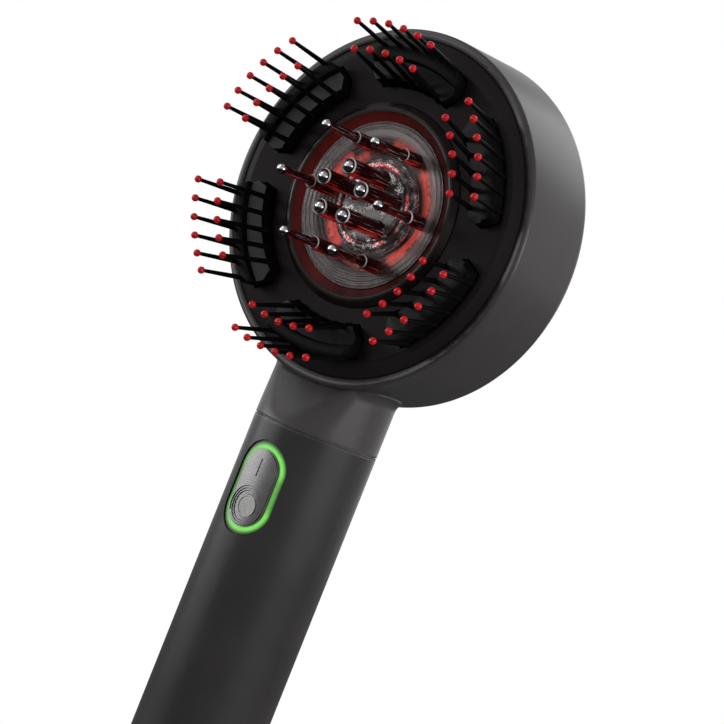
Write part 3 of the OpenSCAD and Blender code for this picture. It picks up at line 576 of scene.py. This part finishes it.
back_middle = (DRUM_RADIUS - BACK_REACH, BACK_DROP - DRUM_DEPTH)
drum_profile = np.concatenate([
    [[POLE_RADIUS, -DRUM_DEPTH]],
    arc(back_middle, (BACK_REACH, BACK_DROP), -90.0, 0.0, 22),
    arc((DRUM_RADIUS - RIM_ROUND, -RIM_ROUND), (RIM_ROUND, RIM_ROUND), 0.0, 90.0, 9),
    [[BORE_RADIUS + BORE_CHAMFER, 0.0], [BORE_RADIUS, -BORE_CHAMFER]],
    arc(back_middle, (BACK_REACH - DRUM_WALL, BACK_DROP - DRUM_WALL), 0.0, -90.0, 12),
    [[POLE_RADIUS, DRUM_WALL - DRUM_DEPTH]],
])
post_profile = [
    (POST_RADIUS, POST_FOOT), (POST_RADIUS, POST_TOP), (PEG_RADIUS, POST_TOP), (PEG_RADIUS, PEG_TOP),
]
drum_shell = piece(
    "drum_shell",
    [
        loft(lathe(drum_profile, HEAD_AXIS, 192)),
        loft(neck_rings(), closed=True),
        loft(lathe(post_profile, POST_RING, 20)),
    ],
    shell_coat,
    smooth_below=50.0,
)
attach(drum_shell, "handle")
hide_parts("head_shell")

# ---- Face plate ----
# A flat ring of brown-black ABS with a sloping border, snapped into the drum by six lugs on its skirt.
# It is darker and duller than the shell, with openings for the six bristle blocks.

# Metres from the head's axis, where the flat of the face ends and its border slopes.
FACE_BORDER, FACE_SLOPE = 0.0372, 0.0386

face_satin = Finish("face satin", {"Specular IOR Level": 0.03})
face_place = face_satin.place(RIM_CENTRE)
face_flow = face_satin.noise(face_place, 0.012, 3.0)
face_grain = face_satin.noise(face_place, 0.0002)
on_slope = face_satin.step(face_satin.away(face_place), FACE_BORDER, FACE_SLOPE)
face_tone = face_satin.tint(
    0.6 * face_flow + 0.4 * face_grain, rgb(0.0088, 0.0064, 0.0069), rgb(0.0147, 0.0107, 0.0115)
)
face_satin.feed(
    Base_Color=face_satin.tint(0.8 * on_slope, face_tone, rgb(0.02, 0.0165, 0.017)),
    Roughness=0.42 + 0.12 * (face_grain - 0.5) + 0.1 * (face_flow - 0.5),
)
face_satin.dent(face_grain, 0.00002)
face_satin.cover("face_plate")

# ---- Window: bezel, red light ring and clear disc ----
# A dark gloss bezel is pressed over the opening and holds a red light ring. The clear disc inside
# is moulded with faint rings and closes the lamp chamber.

# Metres from the head's axis, half widths of lines, and the middle of the painted reflection arc in radians
# from the top.
RING_BRIGHT, RING_DARK = 0.0204, 0.0232
CLEAR_EDGE, MILKY_EDGE = 0.0152, 0.0174
REFLECTION_MIDDLE, REFLECTION_RADIUS, REFLECTION_HALF = 0.6, 0.0176, 0.0013
RIM_LINE, RIM_LINE_HALF = 0.0199, 0.0004
MOULDED_WAVES = 5200.0  # radians in a metre: a ring every 1.2 mm

bezel_gloss = moulded(
    "bezel gloss", rgb(0.008, 0.0045, 0.0043), rgb(0.014, 0.0085, 0.008), 0.3,
    level=0.12, grain_size=0.0006,
)
bezel_gloss.cover("window_bezel")


def head_place(finish):
    """Coordinates from the centre of the rim, and the distance from the head's axis, in metres."""
    here = finish.place(RIM_CENTRE)
    return here, finish.away(here)


def head_angle(finish, here):
    """The angle round the head's axis in radians, clockwise from the top."""
    return finish.math("ARCTAN2", *finish.axes(here, "XZ"))


ruby_ring = Finish("ruby ring", {"Emission Strength": 1.0, "Specular IOR Level": 0.08})
ring_place, ring_away = head_place(ruby_ring)
ring_cloud = ruby_ring.noise(ring_place, 0.006, 3.0)
ring_notch = ruby_ring.noise(ring_place, 0.0012)
ring_fall = 1.0 - 0.65 * ruby_ring.step(ring_away, RING_BRIGHT, RING_DARK)
# The ring glows in clouds, and its left side is painted brighter, as painted light.
ring_glow_and_left_light = ring_cloud + 0.25 * ring_notch - 10.0 * ruby_ring.axis(ring_place, "X")
ruby_ring.feed(
    Base_Color=ruby_ring.tint(ring_cloud, rgb(0.015, 0.005, 0.005), rgb(0.027, 0.01, 0.01)),
    Emission_Color=ruby_ring.tint(
        ring_fall * ruby_ring.step(ring_glow_and_left_light, 0.25, 0.95),
        rgb(0.006, 0.0006, 0.0005), rgb(0.045, 0.002, 0.0014),
    ),
    Roughness=0.35 + 0.2 * ring_notch,
)
ruby_ring.dent(ring_notch, 0.00005)
ruby_ring.cover("glow_ring")

clear_disc = Finish("clear disc", {"IOR": 1.49, "Specular IOR Level": 0.3})
disc_place, disc_away = head_place(clear_disc)
disc_cloud = clear_disc.noise(disc_place, 0.004, 3.0)
disc_lines = clear_disc.noise(clear_disc.place(RIM_CENTRE, (0.35, 1.0, 1.0), (0.0, 0.5, 0.0)), 0.0011, 3.0)
disc_rings = clear_disc.math("SINE", disc_away * MOULDED_WAVES + 3.0 * disc_cloud)
milky = clear_disc.step(disc_away, CLEAR_EDGE, MILKY_EDGE)
# A pale arc on one side of the milky zone is a painted reflection.
reflection_side = clear_disc.math("COSINE", head_angle(clear_disc, disc_place) - REFLECTION_MIDDLE)
painted_reflection = clear_disc.near(disc_away, REFLECTION_RADIUS, REFLECTION_HALF) * clear_disc.step(reflection_side, -0.2, 0.9)
disc_shade = clear_disc.tint(
    clear_disc.step(0.6 * disc_cloud + 0.4 * disc_lines, 0.3, 0.7),
    rgb(0.05, 0.029, 0.029), rgb(0.11, 0.076, 0.075),
)
disc_with_reflection = clear_disc.tint(0.8 * painted_reflection, disc_shade, rgb(0.34, 0.29, 0.29))
rim_line = clear_disc.near(disc_away, RIM_LINE, RIM_LINE_HALF)
clear_disc.feed(
    Base_Color=clear_disc.tint(0.85 * rim_line, disc_with_reflection, rgb(0.008, 0.004, 0.004)),
    Alpha=0.22 + 0.62 * milky * (0.75 + 0.25 * disc_cloud) + 0.08 * disc_rings,
    Roughness=0.22 + 0.15 * disc_cloud,
)
clear_disc.dent(0.5 + 0.5 * disc_rings, 0.00006)
clear_disc.cover("front_lens")

# ---- Lamp chamber: board, red lamps and stepped dish ----
# Eighteen red lamps stand on a ring-shaped board round the hub, whose glow is their light painted on it.
# A bright stepped dish behind the hub throws their light forwards through the clear pins.

# Patches of painted light round the ring, where the lamps light the board.
PAINTED_LIGHT_PATCHES = (
    # angle, half width in degrees, distance from the head's axis and half width in metres, strength
    (293.0, 14.0, 0.0168, 0.0032, 0.8),
    (0.0, 16.0, 0.016, 0.0022, 0.6),
    (58.0, 30.0, 0.0139, 0.0027, 1.0),
    (117.0, 34.0, 0.0134, 0.003, 1.0),
    (228.0, 16.0, 0.0138, 0.003, 0.8),
    (310.0, 12.0, 0.0145, 0.002, 0.5),
)


def painted_lamp_light(finish, here, away):
    """Painted light from the lamps: soft-edged patches round the ring, painted on the board as glow, and
    setting how bright each lamp glows.
    """
    angle = head_angle(finish, here)
    total = 0.0
    for middle, spread, distance, width, strength in PAINTED_LIGHT_PATCHES:
        aside = finish.math("COSINE", angle - math.radians(middle))
        reach = math.cos(math.radians(spread))
        along = finish.step(aside, reach, 0.35 * reach + 0.65)
        total = total + strength * along * finish.near(away, distance, width)
    return total


lamp_board = Finish("lamp board", {"Emission Strength": 1.0, "Specular IOR Level": 0.2})
lamp_place, lamp_away = head_place(lamp_board)
lamp_facets = lamp_board.cells(lamp_place, 600.0)
lamp_streaks = lamp_board.noise(lamp_place, 0.0012, 4.0)
# The board's glow is painted light from the lamps.
board_painted_light = painted_lamp_light(lamp_board, lamp_place, lamp_away) * (0.35 + 1.1 * lamp_streaks)
lamp_board.feed(
    Base_Color=lamp_board.tint(lamp_facets, rgb(0.02, 0.012, 0.012), rgb(0.12, 0.09, 0.09)),
    Emission_Color=lamp_board.tint(board_painted_light, rgb(0.006, 0.001, 0.001), rgb(1.0, 0.08, 0.055)),
    Roughness=0.3 + 0.2 * lamp_facets,
)
lamp_board.dent(lamp_facets, 0.0001)
lamp_board.cover("led_board")

red_chips = Finish("red chips", {"Emission Strength": 1.0, "Roughness": 0.3, "Specular IOR Level": 0.2})
red_place, red_away = head_place(red_chips)
red_cloud = red_chips.noise(red_place, 0.0008, 3.0)
red_light = painted_lamp_light(red_chips, red_place, red_away) * red_chips.step(red_cloud, 0.3, 0.7)
red_chips.feed(
    Base_Color=red_chips.tint(red_cloud, rgb(0.12, 0.01, 0.008), rgb(0.3, 0.03, 0.02)),
    Emission_Color=red_chips.tint(0.12 + 0.9 * red_light, rgb(0.02, 0.001, 0.001), rgb(1.0, 0.09, 0.06)),
)
red_chips.dent(red_cloud, 0.00008)
red_chips.cover("red_leds")

dish_chrome = Finish("dish chrome", {"Metallic": 1.0})
dish_place = dish_chrome.place(RIM_CENTRE)
dish_facets = dish_chrome.cells(dish_place, 520.0)
dish_stain = dish_chrome.noise(dish_place, 0.003, 3.0)
dish_chrome.feed(
    Base_Color=dish_chrome.tint(dish_stain, rgb(0.02, 0.012, 0.012), rgb(0.3, 0.26, 0.26)),
    Roughness=0.12 + 0.2 * dish_facets,
)
dish_chrome.dent(dish_facets, 0.0006)
dish_chrome.cover("hub_reflector")

# ---- Springs behind the sprung pins ----
# Six coil springs of round steel wire, six turns each. Each one stands at the foot of its pin's
# sleeve and presses on the foot of the pin's stem.

# In millimetres, with heights from the rim.
PIN_CIRCLE, PIN_TRAVEL = 15.3, 3.5
PIN_RING = [(PIN_CIRCLE, 30.0 + 60.0 * k) for k in range(6)]
SPRING_FOOT, SPRING_TOP, SPRING_RADIUS, WIRE_RADIUS = -6.8, -0.55, 1.0, 0.16

spring_wire = bright_metal("spring wire", rgb(0.3, 0.3, 0.3), rgb(0.6, 0.6, 0.6), 0.25)


def coil_rings(circle, angle, turns=6, per_turn=20, places=8):
    """Round wire on a helix: centre (r cos t, h0 + (h1 - h0) t / t1, r sin t) about the pin's axis, and
    small rings that stand on the helix's radius and the pin's axis."""
    t = np.linspace(0.0, 2 * np.pi * turns, turns * per_turn + 1)
    ring = np.linspace(0.0, 2 * np.pi, places, endpoint=False)
    low, high = SPRING_FOOT + WIRE_RADIUS, SPRING_TOP - WIRE_RADIUS
    radius = SPRING_RADIUS + WIRE_RADIUS * np.cos(ring)
    height = low + (high - low) * t[:, None] / t[-1] - WIRE_RADIUS * np.sin(ring)
    x = radius * np.cos(t)[:, None]
    z = radius * np.sin(t)[:, None]
    return (np.stack([x, -height, z], axis=-1) / 1000.0 + on_head(circle, 0.0, angle))[None]


for number, pin_place in enumerate(PIN_RING, 1):
    spring = piece(f"pin_spring_{number}", [loft(coil_rings(*pin_place))], spring_wire)
    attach(spring, "handle")
    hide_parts("pin_springs")
    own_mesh(spring)

# ---- Clear hub and pins, and their balls ----
# Five roller pins stand on a clear hub with a cut-glass look, and six sprung pins slide in clear
# sleeves. All are clear styrene that pipes the red light, and each carries a polished steel ball.

# In millimetres. Outlines are pairs of radius and height in front of the rim.
TUBE_RING = [(6.2, 72.0 * k) for k in range(5)]
HUB_RADIUS, HUB_TOP, FLANGE_RADIUS, FLANGE_FOOT = 10.6, 1.5, 11.6, -1.05
TUBE_RADIUS, TUBE_EDGE, TUBE_MOUTH = 2.0, 1.97, 15.0
SLEEVE_RADIUS, SLEEVE_EDGE, SLEEVE_FOOT, SLEEVE_MOUTH = 1.65, 1.62, -7.6, 7.25
SLEEVE_BORE, SLEEVE_NECK = 1.28, 1.07
hub_profile = [
    (2.0, FLANGE_FOOT), (11.4, FLANGE_FOOT), (FLANGE_RADIUS, -0.9), (FLANGE_RADIUS, 0.12),
    (11.45, 0.25), (10.7, 0.25), (HUB_RADIUS, 0.4), (HUB_RADIUS, 1.15), (10.5, 1.4), (10.3, HUB_TOP),
    (9.5, HUB_TOP), (9.3, 1.35), (9.2, 1.1), (9.0, 1.1), (8.85, 1.3), (8.5, 1.42), (7.0, 1.46),
    (4.0, HUB_TOP), (1.0, HUB_TOP),
]
tube_profile = [
    (2.5, 1.2), (2.3, 1.5), (2.1, 1.9), (TUBE_RADIUS, 2.5), (TUBE_RADIUS, 8.0), (TUBE_RADIUS, 14.75),
    (TUBE_EDGE, 14.9), (1.65, TUBE_MOUTH), (1.52, 14.95), (1.5, 14.6), (1.35, 14.1), (1.0, 13.65),
    (0.5, 13.4),
]
tube_lip = np.concatenate([
    [[1.62, 14.85], [TUBE_EDGE, 14.85]], arc((1.79, 15.08), (0.2, 0.22), -20.0, 200.0, 11),
    [[1.6, 14.95]],
])
sleeve_profile = [
    (1.3, SLEEVE_FOOT), (1.6, SLEEVE_FOOT), (SLEEVE_RADIUS, -7.5), (SLEEVE_RADIUS, 0.0),
    (SLEEVE_RADIUS, 7.15), (SLEEVE_EDGE, SLEEVE_MOUTH), (1.3, SLEEVE_MOUTH), (SLEEVE_BORE, 6.5),
    (SLEEVE_NECK, 6.3), (SLEEVE_NECK, 0.45), (SLEEVE_BORE, 0.4), (SLEEVE_BORE, SPRING_FOOT),
]
sleeve_lip = np.concatenate([
    [[1.29, 7.2], [SLEEVE_EDGE, 7.2]], arc((1.46, 7.41), (0.19, 0.18), -20.0, 200.0, 11),
    [[SLEEVE_BORE, 7.3]],
])


def piped_red(name, glow, bright=0.0):
    """Clear styrene lit from its foot: nearly black inside, with long red glow lines that follow the pin,
    pale lines of painted highlight on its upper side, and the red strongest on the underside, as painted
    light from the nearest lamps."""
    pipe = Finish(name, {
        "IOR": 1.49, "Transmission Weight": 0.25, "Specular IOR Level": 0.16, "Emission Strength": 1.0,
    })
    facing = pipe.facing()
    right, up = pipe.axes(facing, "XZ")
    here = pipe.place(RIM_CENTRE, (0.5, 0.07, 0.5))
    wrap = pipe.add("ShaderNodeVectorMath", {"operation": "MULTIPLY"}, {0: facing, 1: (0.0026, 0.0, 0.0026)})
    along = pipe.add("ShaderNodeVectorMath", {"operation": "ADD"}, {0: here, 1: wrap})
    lines = pipe.noise(along, 0.0006, 4.0)
    blots = pipe.noise(pipe.place(RIM_CENTRE, (1.0, 0.4, 1.0)), 0.0017, 3.0)
    # Painted light: the underside, towards the nearest lamps, glows most.
    lit_underside = pipe.step(0.25 * right - 0.8 * up + 0.5 * (blots - 0.5), 0.05, 0.95)
    red = pipe.step(0.75 * lines + 0.35 * blots + 0.12 * lit_underside, 0.6, 0.78)
    # Painted highlight: pale lines, mostly on the upper side.
    pale = pipe.step(lines, 0.59, 0.67) * (1.0 - 0.75 * lit_underside)
    tone = pipe.tint(red, rgb(0.01, 0.002, 0.002), rgb(0.12, 0.006, 0.006))
    pipe.feed(
        Base_Color=pipe.tint(pale * (0.55 + bright), tone, rgb(0.6, 0.56, 0.56)),
        Emission_Color=pipe.tint(red * (0.15 + 0.85 * lit_underside), rgb(0.002, 0.0, 0.0), glow),
        Roughness=0.14 + 0.12 * blots,
    )
    pipe.dent(lines, 0.00015)
    return pipe


# Metres from the head's axis and half widths: the painted red glow at the hub's rim, and the painted shade
# in its groove.
RED_RIM, RED_RIM_HALF, GROOVE, GROOVE_HALF = 0.0098, 0.0008, 0.0091, 0.0006

cut_glass = Finish("cut glass", {"Metallic": 0.3, "Specular IOR Level": 0.2, "Emission Strength": 1.0})
glass_place, glass_away = head_place(cut_glass)
glass_cells = cut_glass.cells(glass_place, 1700.0)
glass_cloud = cut_glass.noise(glass_place, 0.003, 3.0)
cut_zone = cut_glass.step(glass_cloud, 0.47, 0.58)
# Painted glints: bright sparkles in the cut zones, over the glass's own cloudy tone.
glass_tone_and_glints = 0.16 * glass_cloud + 1.2 * cut_zone * cut_glass.step(glass_cells, 0.3, 0.7)
red_stretch = cut_glass.step(cut_glass.noise(glass_place, 0.005), 0.42, 0.52)
# Painted light: a red glow along the hub's rim.
painted_red_rim = cut_glass.near(glass_away, RED_RIM, RED_RIM_HALF) * red_stretch
# Painted shade in the hub's groove.
groove_shade = cut_glass.near(glass_away, GROOVE, GROOVE_HALF)
glass_tone = cut_glass.tint(glass_tone_and_glints, rgb(0.014, 0.008, 0.009), rgb(0.78, 0.75, 0.75))
cut_glass.feed(
    Base_Color=cut_glass.tint(0.8 * groove_shade, glass_tone, rgb(0.01, 0.004, 0.004)),
    Emission_Color=cut_glass.tint(painted_red_rim, rgb(0.004, 0.001, 0.001), rgb(0.42, 0.018, 0.014)),
    Roughness=0.16 + 0.25 * glass_cloud,
)
cut_glass.dent(glass_cells * cut_zone, 0.00025)

lip_painted_highlight = Finish("lip painted highlight", {"Specular IOR Level": 0.3})
lip_right, lip_up = lip_painted_highlight.axes(lip_painted_highlight.facing(), "XZ")
lip_cloud = lip_painted_highlight.noise(lip_painted_highlight.place(), 0.001, 3.0)
# Painted highlight: the lips are pale on their right and upper sides.
painted_highlight_side = lip_painted_highlight.step(0.85 * lip_right + 0.6 * lip_up + 0.4 * (lip_cloud - 0.5), 0.0, 0.55)
lip_painted_highlight.feed(
    Base_Color=lip_painted_highlight.tint(painted_highlight_side, rgb(0.045, 0.02, 0.02), rgb(0.66, 0.63, 0.63)),
    Roughness=0.2 + 0.2 * lip_cloud,
)
lip_painted_highlight.dent(lip_cloud, 0.00003)

tube_glass = piped_red("tube glass", rgb(0.21, 0.007, 0.006))
sleeve_glass = piped_red("sleeve glass", rgb(0.24, 0.008, 0.006))
for name, part, finish, node in (
    ("hub_disc", loft(lathe(hub_profile, HEAD_AXIS, 96)), cut_glass, "roller_hub"),
    ("roller_tubes", loft(lathe(tube_profile, TUBE_RING, 32)), tube_glass, "roller_hub"),
    ("roller_lips", loft(lathe(tube_lip, TUBE_RING, 32), closed=True), lip_painted_highlight, "roller_hub"),
    ("pin_tubes", loft(lathe(sleeve_profile, PIN_RING, 32), closed=True), sleeve_glass, "pin_sleeves"),
    ("pin_lips", loft(lathe(sleeve_lip, PIN_RING, 32), closed=True), lip_painted_highlight, "pin_sleeves"),
):
    clear_part = piece(name, [part], finish, smooth_below=50.0)
    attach(clear_part, "handle")
    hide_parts(node)

stem_glass = piped_red("stem glass", rgb(0.07, 0.004, 0.004), bright=0.35)
stem_glass.cover(*(f"pin_stem_{k}" for k in range(1, 7)))

# The steel is painted darker below and paler above, as a painted reflection of the black face below.
ball_chrome = Finish("ball chrome", {"Metallic": 1.0})
ball_right, ball_up = ball_chrome.axes(ball_chrome.facing(), "XZ")
ball_haze = ball_chrome.noise(ball_chrome.place(), 0.0006, 4.0)
# Painted reflection: dark below, pale above.
ball_painted_reflection = ball_chrome.step(ball_up - 0.1 * ball_right + 0.3 * ball_haze, -0.4, 0.5)
ball_chrome.feed(
    Base_Color=ball_chrome.tint(ball_painted_reflection, rgb(0.05, 0.048, 0.05), rgb(0.5, 0.5, 0.51)),
    Roughness=0.08 + 0.06 * ball_haze,
)
ball_chrome.dent(ball_haze, 0.000002)
ball_chrome.cover(*(f"pin_ball_{k}" for k in range(1, 7)), *(f"roller_ball_{k}" for k in range(1, 6)))

# ---- Motor, shaft and eccentric weight ----
# A small can motor with a rolled steel body is clamped to the carrier. It spins a brass half-weight
# that is pressed on its shaft, and that shakes the carrier.

can_steel = bright_metal(
    "can steel", rgb(0.35, 0.35, 0.36), rgb(0.55, 0.55, 0.56), 0.3, streak=(0.1, 1.0, 1.0)
)
can_steel.cover("motor", "motor_shaft")
weight_brass = bright_metal("weight brass", rgb(0.4, 0.28, 0.1), rgb(0.6, 0.45, 0.2), 0.35)
weight_brass.cover("eccentric_weight")

# ---- Rubber dampers ----
# Six soft grey rubber sleeves, each pushed over the peg of one of the drum's posts. The shaking
# carrier rests on them, so that little of the shaking reaches the handle.

damper_rubber = moulded("damper rubber", rgb(0.05, 0.05, 0.052), rgb(0.09, 0.09, 0.094), 0.65, level=0.25)
damper_rubber.cover("dampers")

# ---- Bristle blocks ----
# Six curved blocks, each moulded in one shot of black nylon: a low step, a ridge behind it, five
# bristles on the step's edge and six on the ridge's. The inner five stand on round pads.

# In millimetres: radii from the head's axis, and heights in front of the rim.
BLOCK_INNER, BLOCK_OUTER, RIDGE_FOOT, RIDGE_EDGE = 29.05, 36.75, 34.25, 34.65
BLOCK_HALF_LENGTH, BLOCK_CORNER = 12.6, 2.7
BLOCK_FOOT, FACE_TOP, STEP_TOP, RIDGE_TOP = -2.9, 1.9, 4.9, 6.3
STEP_SLOPE, END_ROUND, RIDGE_ROUND = 0.75, 0.7, 0.9
BLOCK_BEVEL = 0.0003  # metres
BRISTLE_FOOT, BRISTLE_END = 2.8, 18.0
ROWS = (
    # root radius, outward lean, angle between bristles, number of bristles, radius of the root's pad
    (36.98, 0.19, 6.62, 6, 0.62),
    (29.20, 0.25, 7.96, 5, 1.0),
)


def block_rings(centre):
    """The block's cross-section carried sideways from one straight end to the other. At the place x
    along it a corner that lies at radius r has y = sqrt(r^2 - x^2), and the inner corners keep out of
    the two 45 degree chamfers. Just inside the ends the outer corner turns in on an arc."""
    fan = np.array([0.0, 0.1, 0.25, 0.45, 0.7, 1.1, 1.6, 2.2, BLOCK_CORNER])
    end, inset = BLOCK_HALF_LENGTH, BLOCK_CORNER + 0.5
    x = np.concatenate([fan - end, np.linspace(inset - end, end - inset, 27), end - fan[::-1]])
    from_end = end - np.abs(x)
    chamfer = math.sqrt(BLOCK_INNER**2 - (end - BLOCK_CORNER) ** 2) + BLOCK_CORNER - from_end

    def inner(radius):
        return np.maximum(np.sqrt(radius**2 - x * x), chamfer)

    def outer(radius, reach):
        inside = np.clip(reach - from_end, 0.0, reach)
        return np.sqrt(radius**2 - x * x) - (reach - np.sqrt(reach * reach - inside * inside))

    lean = ROWS[0][1] * (RIDGE_TOP - FACE_TOP)
    corners = [
        (outer(BLOCK_OUTER, END_ROUND), BLOCK_FOOT), (outer(BLOCK_OUTER, END_ROUND), FACE_TOP),
        (outer(BLOCK_OUTER + lean, RIDGE_ROUND), RIDGE_TOP), (inner(RIDGE_EDGE), RIDGE_TOP),
        (inner(RIDGE_FOOT), STEP_TOP), (inner(BLOCK_INNER + STEP_SLOPE), STEP_TOP),
        (inner(BLOCK_INNER), FACE_TOP), (inner(BLOCK_INNER), BLOCK_FOOT),
    ]
    places = [
        on_head(np.hypot(x, y), height, centre + np.degrees(np.arctan2(x, y))) for y, height in corners
    ]
    return np.stack(places, axis=1)[None]


def bristle_rings(centre, root_radius, lean, pitch, count, pad, sides=12):
    """Round bristles that lean outwards: a ring's centre moves out by lean times its height above the
    face. Its radius goes from the root's pad over a small collar to the stalk, then tapers to the tip."""
    share = np.array([0.0, 0.06, 0.1, 0.135, 0.17, 0.3, 0.5, 0.7, 0.88, 1.0])
    girth = np.array([pad, pad, pad, 0.7, 0.62, 0.6, 0.56, 0.51, 0.47, 0.45])
    height = BRISTLE_FOOT + (BRISTLE_END - BRISTLE_FOOT) * share
    angles = centre + pitch * (np.arange(count) - (count - 1) / 2)
    turn = np.linspace(0.0, 2 * np.pi, sides, endpoint=False)
    middle = on_head(root_radius + lean * (height - FACE_TOP), height, angles[:, None])
    sine, cosine = np.sin(np.radians(angles)), np.cos(np.radians(angles))
    outward = np.stack([sine, 0 * angles, cosine], axis=-1)
    sideways = np.stack([-cosine, 0 * angles, sine], axis=-1)
    along_out, along_side = np.cos(turn)[:, None], np.sin(turn)[:, None]
    spread = along_out * outward[:, None, None] + along_side * sideways[:, None, None]
    return middle[:, :, None] + spread * girth[:, None, None] / 1000.0


bristle_nylon = Finish("bristle nylon", {"Specular IOR Level": 0.025})
nylon_place = bristle_nylon.place(RIM_CENTRE)
nylon_across, nylon_back = bristle_nylon.axes(nylon_place, "XY")
nylon_flow = bristle_nylon.noise(nylon_place, 0.006, 3.0)
nylon_grain = bristle_nylon.noise(nylon_place, 0.0005)
# The tops of the steps are painted paler, as a painted highlight, and most so on the head's left side, as
# painted light.
faces_out = bristle_nylon.axis(bristle_nylon.facing(), "Y") * -1.0
at_step = bristle_nylon.near(nylon_back, -STEP_TOP / 1000.0, 0.0006)
step_flat = bristle_nylon.step(faces_out, 0.8, 0.95) * at_step
# Painted light: the pale step tops are strongest on the head's left side.
worn = 1.0 - 0.8 * bristle_nylon.step(nylon_across + 0.02 * nylon_flow, -0.008, 0.012)
nylon_tone = bristle_nylon.tint(
    0.6 * nylon_flow + 0.4 * nylon_grain, rgb(0.002, 0.002, 0.0021), rgb(0.0046, 0.0046, 0.0048)
)
bristle_nylon.feed(
    Base_Color=bristle_nylon.tint(step_flat * worn, nylon_tone, rgb(0.06, 0.058, 0.057)),
    Roughness=0.36 + 0.12 * (nylon_grain - 0.5) + 0.1 * (nylon_flow - 0.5),
)
bristle_nylon.dent(nylon_grain, 0.00002)
for number in range(1, 7):
    centre = 60.0 * (number - 1)
    body = piece(f"block_body_{number}", [loft(block_rings(centre))], bristle_nylon, bevel=BLOCK_BEVEL)
    stalks = piece(
        f"block_bristles_{number}", [loft(bristle_rings(centre, *row)) for row in ROWS], bristle_nylon
    )
    for part in (body, stalks):
        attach(part, "brush_carrier")
        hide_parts(f"bristle_block_{number}")

# ---- Bristle tips ----
# Each of the 66 bristles ends in a small ball of ruby red elastomer. The tips are dipped in it and
# cured to a gloss, so their colour is a little cloudy.

ruby_dip = Finish("ruby dip", {"Coat Weight": 0.3, "Coat Roughness": 0.12, "Specular IOR Level": 0.1})
dip_cloud = ruby_dip.noise(ruby_dip.place(), 0.0012, 3.0)
ruby_dip.feed(
    Base_Color=ruby_dip.tint(dip_cloud, rgb(0.42, 0.004, 0.008), rgb(0.7, 0.012, 0.02)),
    Roughness=0.3 + 0.2 * dip_cloud,
)
ruby_dip.dent(dip_cloud, 0.00006)
ruby_dip.cover("bristle_tips")

# ---- Floor, light and camera ----
# A pale floor under the handle's flat end, four soft studio lamps and the one camera. Beyond the
# object's shadow the camera sees the floor as plain white; its paint is dark there, so that little
# light comes back up to the drum's underside.

FLOOR_HALF, FLOOR_DROP = 3.0, 0.0001
# Metres from the handle's axis where the paint turns dark, and where the floor turns white for the
# camera and in shiny surfaces.
PAINT_FADE, CAMERA_FADE, MIRROR_FADE = (0.06, 0.16), (0.03, 0.14), (1.0, 1.6)
WHITE = rgb(1.0, 1.0, 1.0)
LAMPS = (
    # name, direction from the head, distance, tall, wide, watts
    ("overhead softbox", (0.05, 0.78, 0.62), 0.8, 0.45, 0.45, 1.5),
    ("upper left softbox", (-0.62, -0.5, 0.6), 0.9, 0.4, 0.6, 2.0),
    ("left softbox", (-0.829, -0.559, -0.02), 0.9, 0.25, 0.85, 3.9),
    ("right softbox", (0.992, -0.035, 0.12), 0.9, 0.26, 0.85, 6.6),
)


def backdrop_seen(nodes):
    """1 for rays from the camera and through glass, and 1 for rays off shiny surfaces."""
    kinds = ("Is Camera Ray", "Is Transmission Ray", "Is Glossy Ray")
    camera_ray, clear_ray, glossy_ray = (nodes.add("ShaderNodeLightPath", output=k) for k in kinds)
    return nodes.math("MAXIMUM", camera_ray, clear_ray), glossy_ray


floor_mesh = bpy.data.meshes.new("floor")
floor_corners = [
    (FLOOR_HALF * x, FLOOR_HALF * y, -FLOOR_DROP) for x, y in ((-1, -1), (1, -1), (1, 1), (-1, 1))
]
floor_mesh.from_pydata(floor_corners, [], [(0, 1, 2, 3)])
floor = added("floor", floor_mesh)
floor_paint = Finish("floor paint", {"Roughness": 0.8})
floor_away = floor_paint.away(floor_paint.place(), "XY")
floor_paint.feed(
    Base_Color=floor_paint.tint(
        floor_paint.step(floor_away, *PAINT_FADE), rgb(0.6, 0.6, 0.6), rgb(0.07, 0.07, 0.07)
    ),
)
straight, mirrored = backdrop_seen(floor_paint)
plain_white = floor_paint.math(
    "MAXIMUM",
    straight * floor_paint.step(floor_away, *CAMERA_FADE),
    mirrored * floor_paint.step(floor_away, *MIRROR_FADE),
)
painted = Wire(floor_paint, floor_paint.shader.outputs[0])
white = floor_paint.add("ShaderNodeEmission", None, {"Color": WHITE, "Strength": 1.0})
floor_paint.end_in_mix(plain_white, painted, white, "Material Output")
floor_mesh.materials.append(floor_paint.material)

scene = bpy.context.scene
world = bpy.data.worlds.new("studio")
scene.world = world
world.use_nodes = True
sky = Nodes(world.node_tree)
soft = sky.add("ShaderNodeBackground", None, {"Color": rgb(0.96, 0.98, 1.0), "Strength": 0.25})
upward = sky.axis(sky.add("ShaderNodeTexCoord", output="Generated"), "Z")
walls = sky.tint(sky.step(upward, 0.3, 0.7), WHITE, rgb(0.4, 0.4, 0.4))
plain = sky.add("ShaderNodeBackground", None, {"Color": walls, "Strength": 1.0})
sky.end_in_mix(sky.math("MAXIMUM", *backdrop_seen(sky)), soft, plain, "World Output")

for name, direction, distance, tall, wide, watts in LAMPS:
    lamp_data = bpy.data.lights.new(name, "AREA")
    lamp_data.shape = "RECTANGLE"
    lamp_data.size = tall
    lamp_data.size_y = wide
    lamp_data.energy = watts
    lamp = added(name, lamp_data)
    heading = np.array(direction) / np.linalg.norm(direction)
    lamp.location = heading * distance + np.array(RIM_CENTRE)
    lamp.rotation_euler = (0.0, math.acos(heading[2]), math.atan2(heading[1], heading[0]))

camera_data = bpy.data.cameras.new("camera")
camera_data.lens = 160.77
camera_data.sensor_width = 36.0
camera_data.clip_start = 0.01
camera_data.clip_end = 20.0
camera = added("camera", camera_data)
camera.location = (0.46981, -0.60882, 0.15345)
camera.rotation_euler = tuple(math.radians(a) for a in (88.5775, -21.7759, 37.9068))
scene.camera = camera
scene.view_settings.view_transform = "Standard"
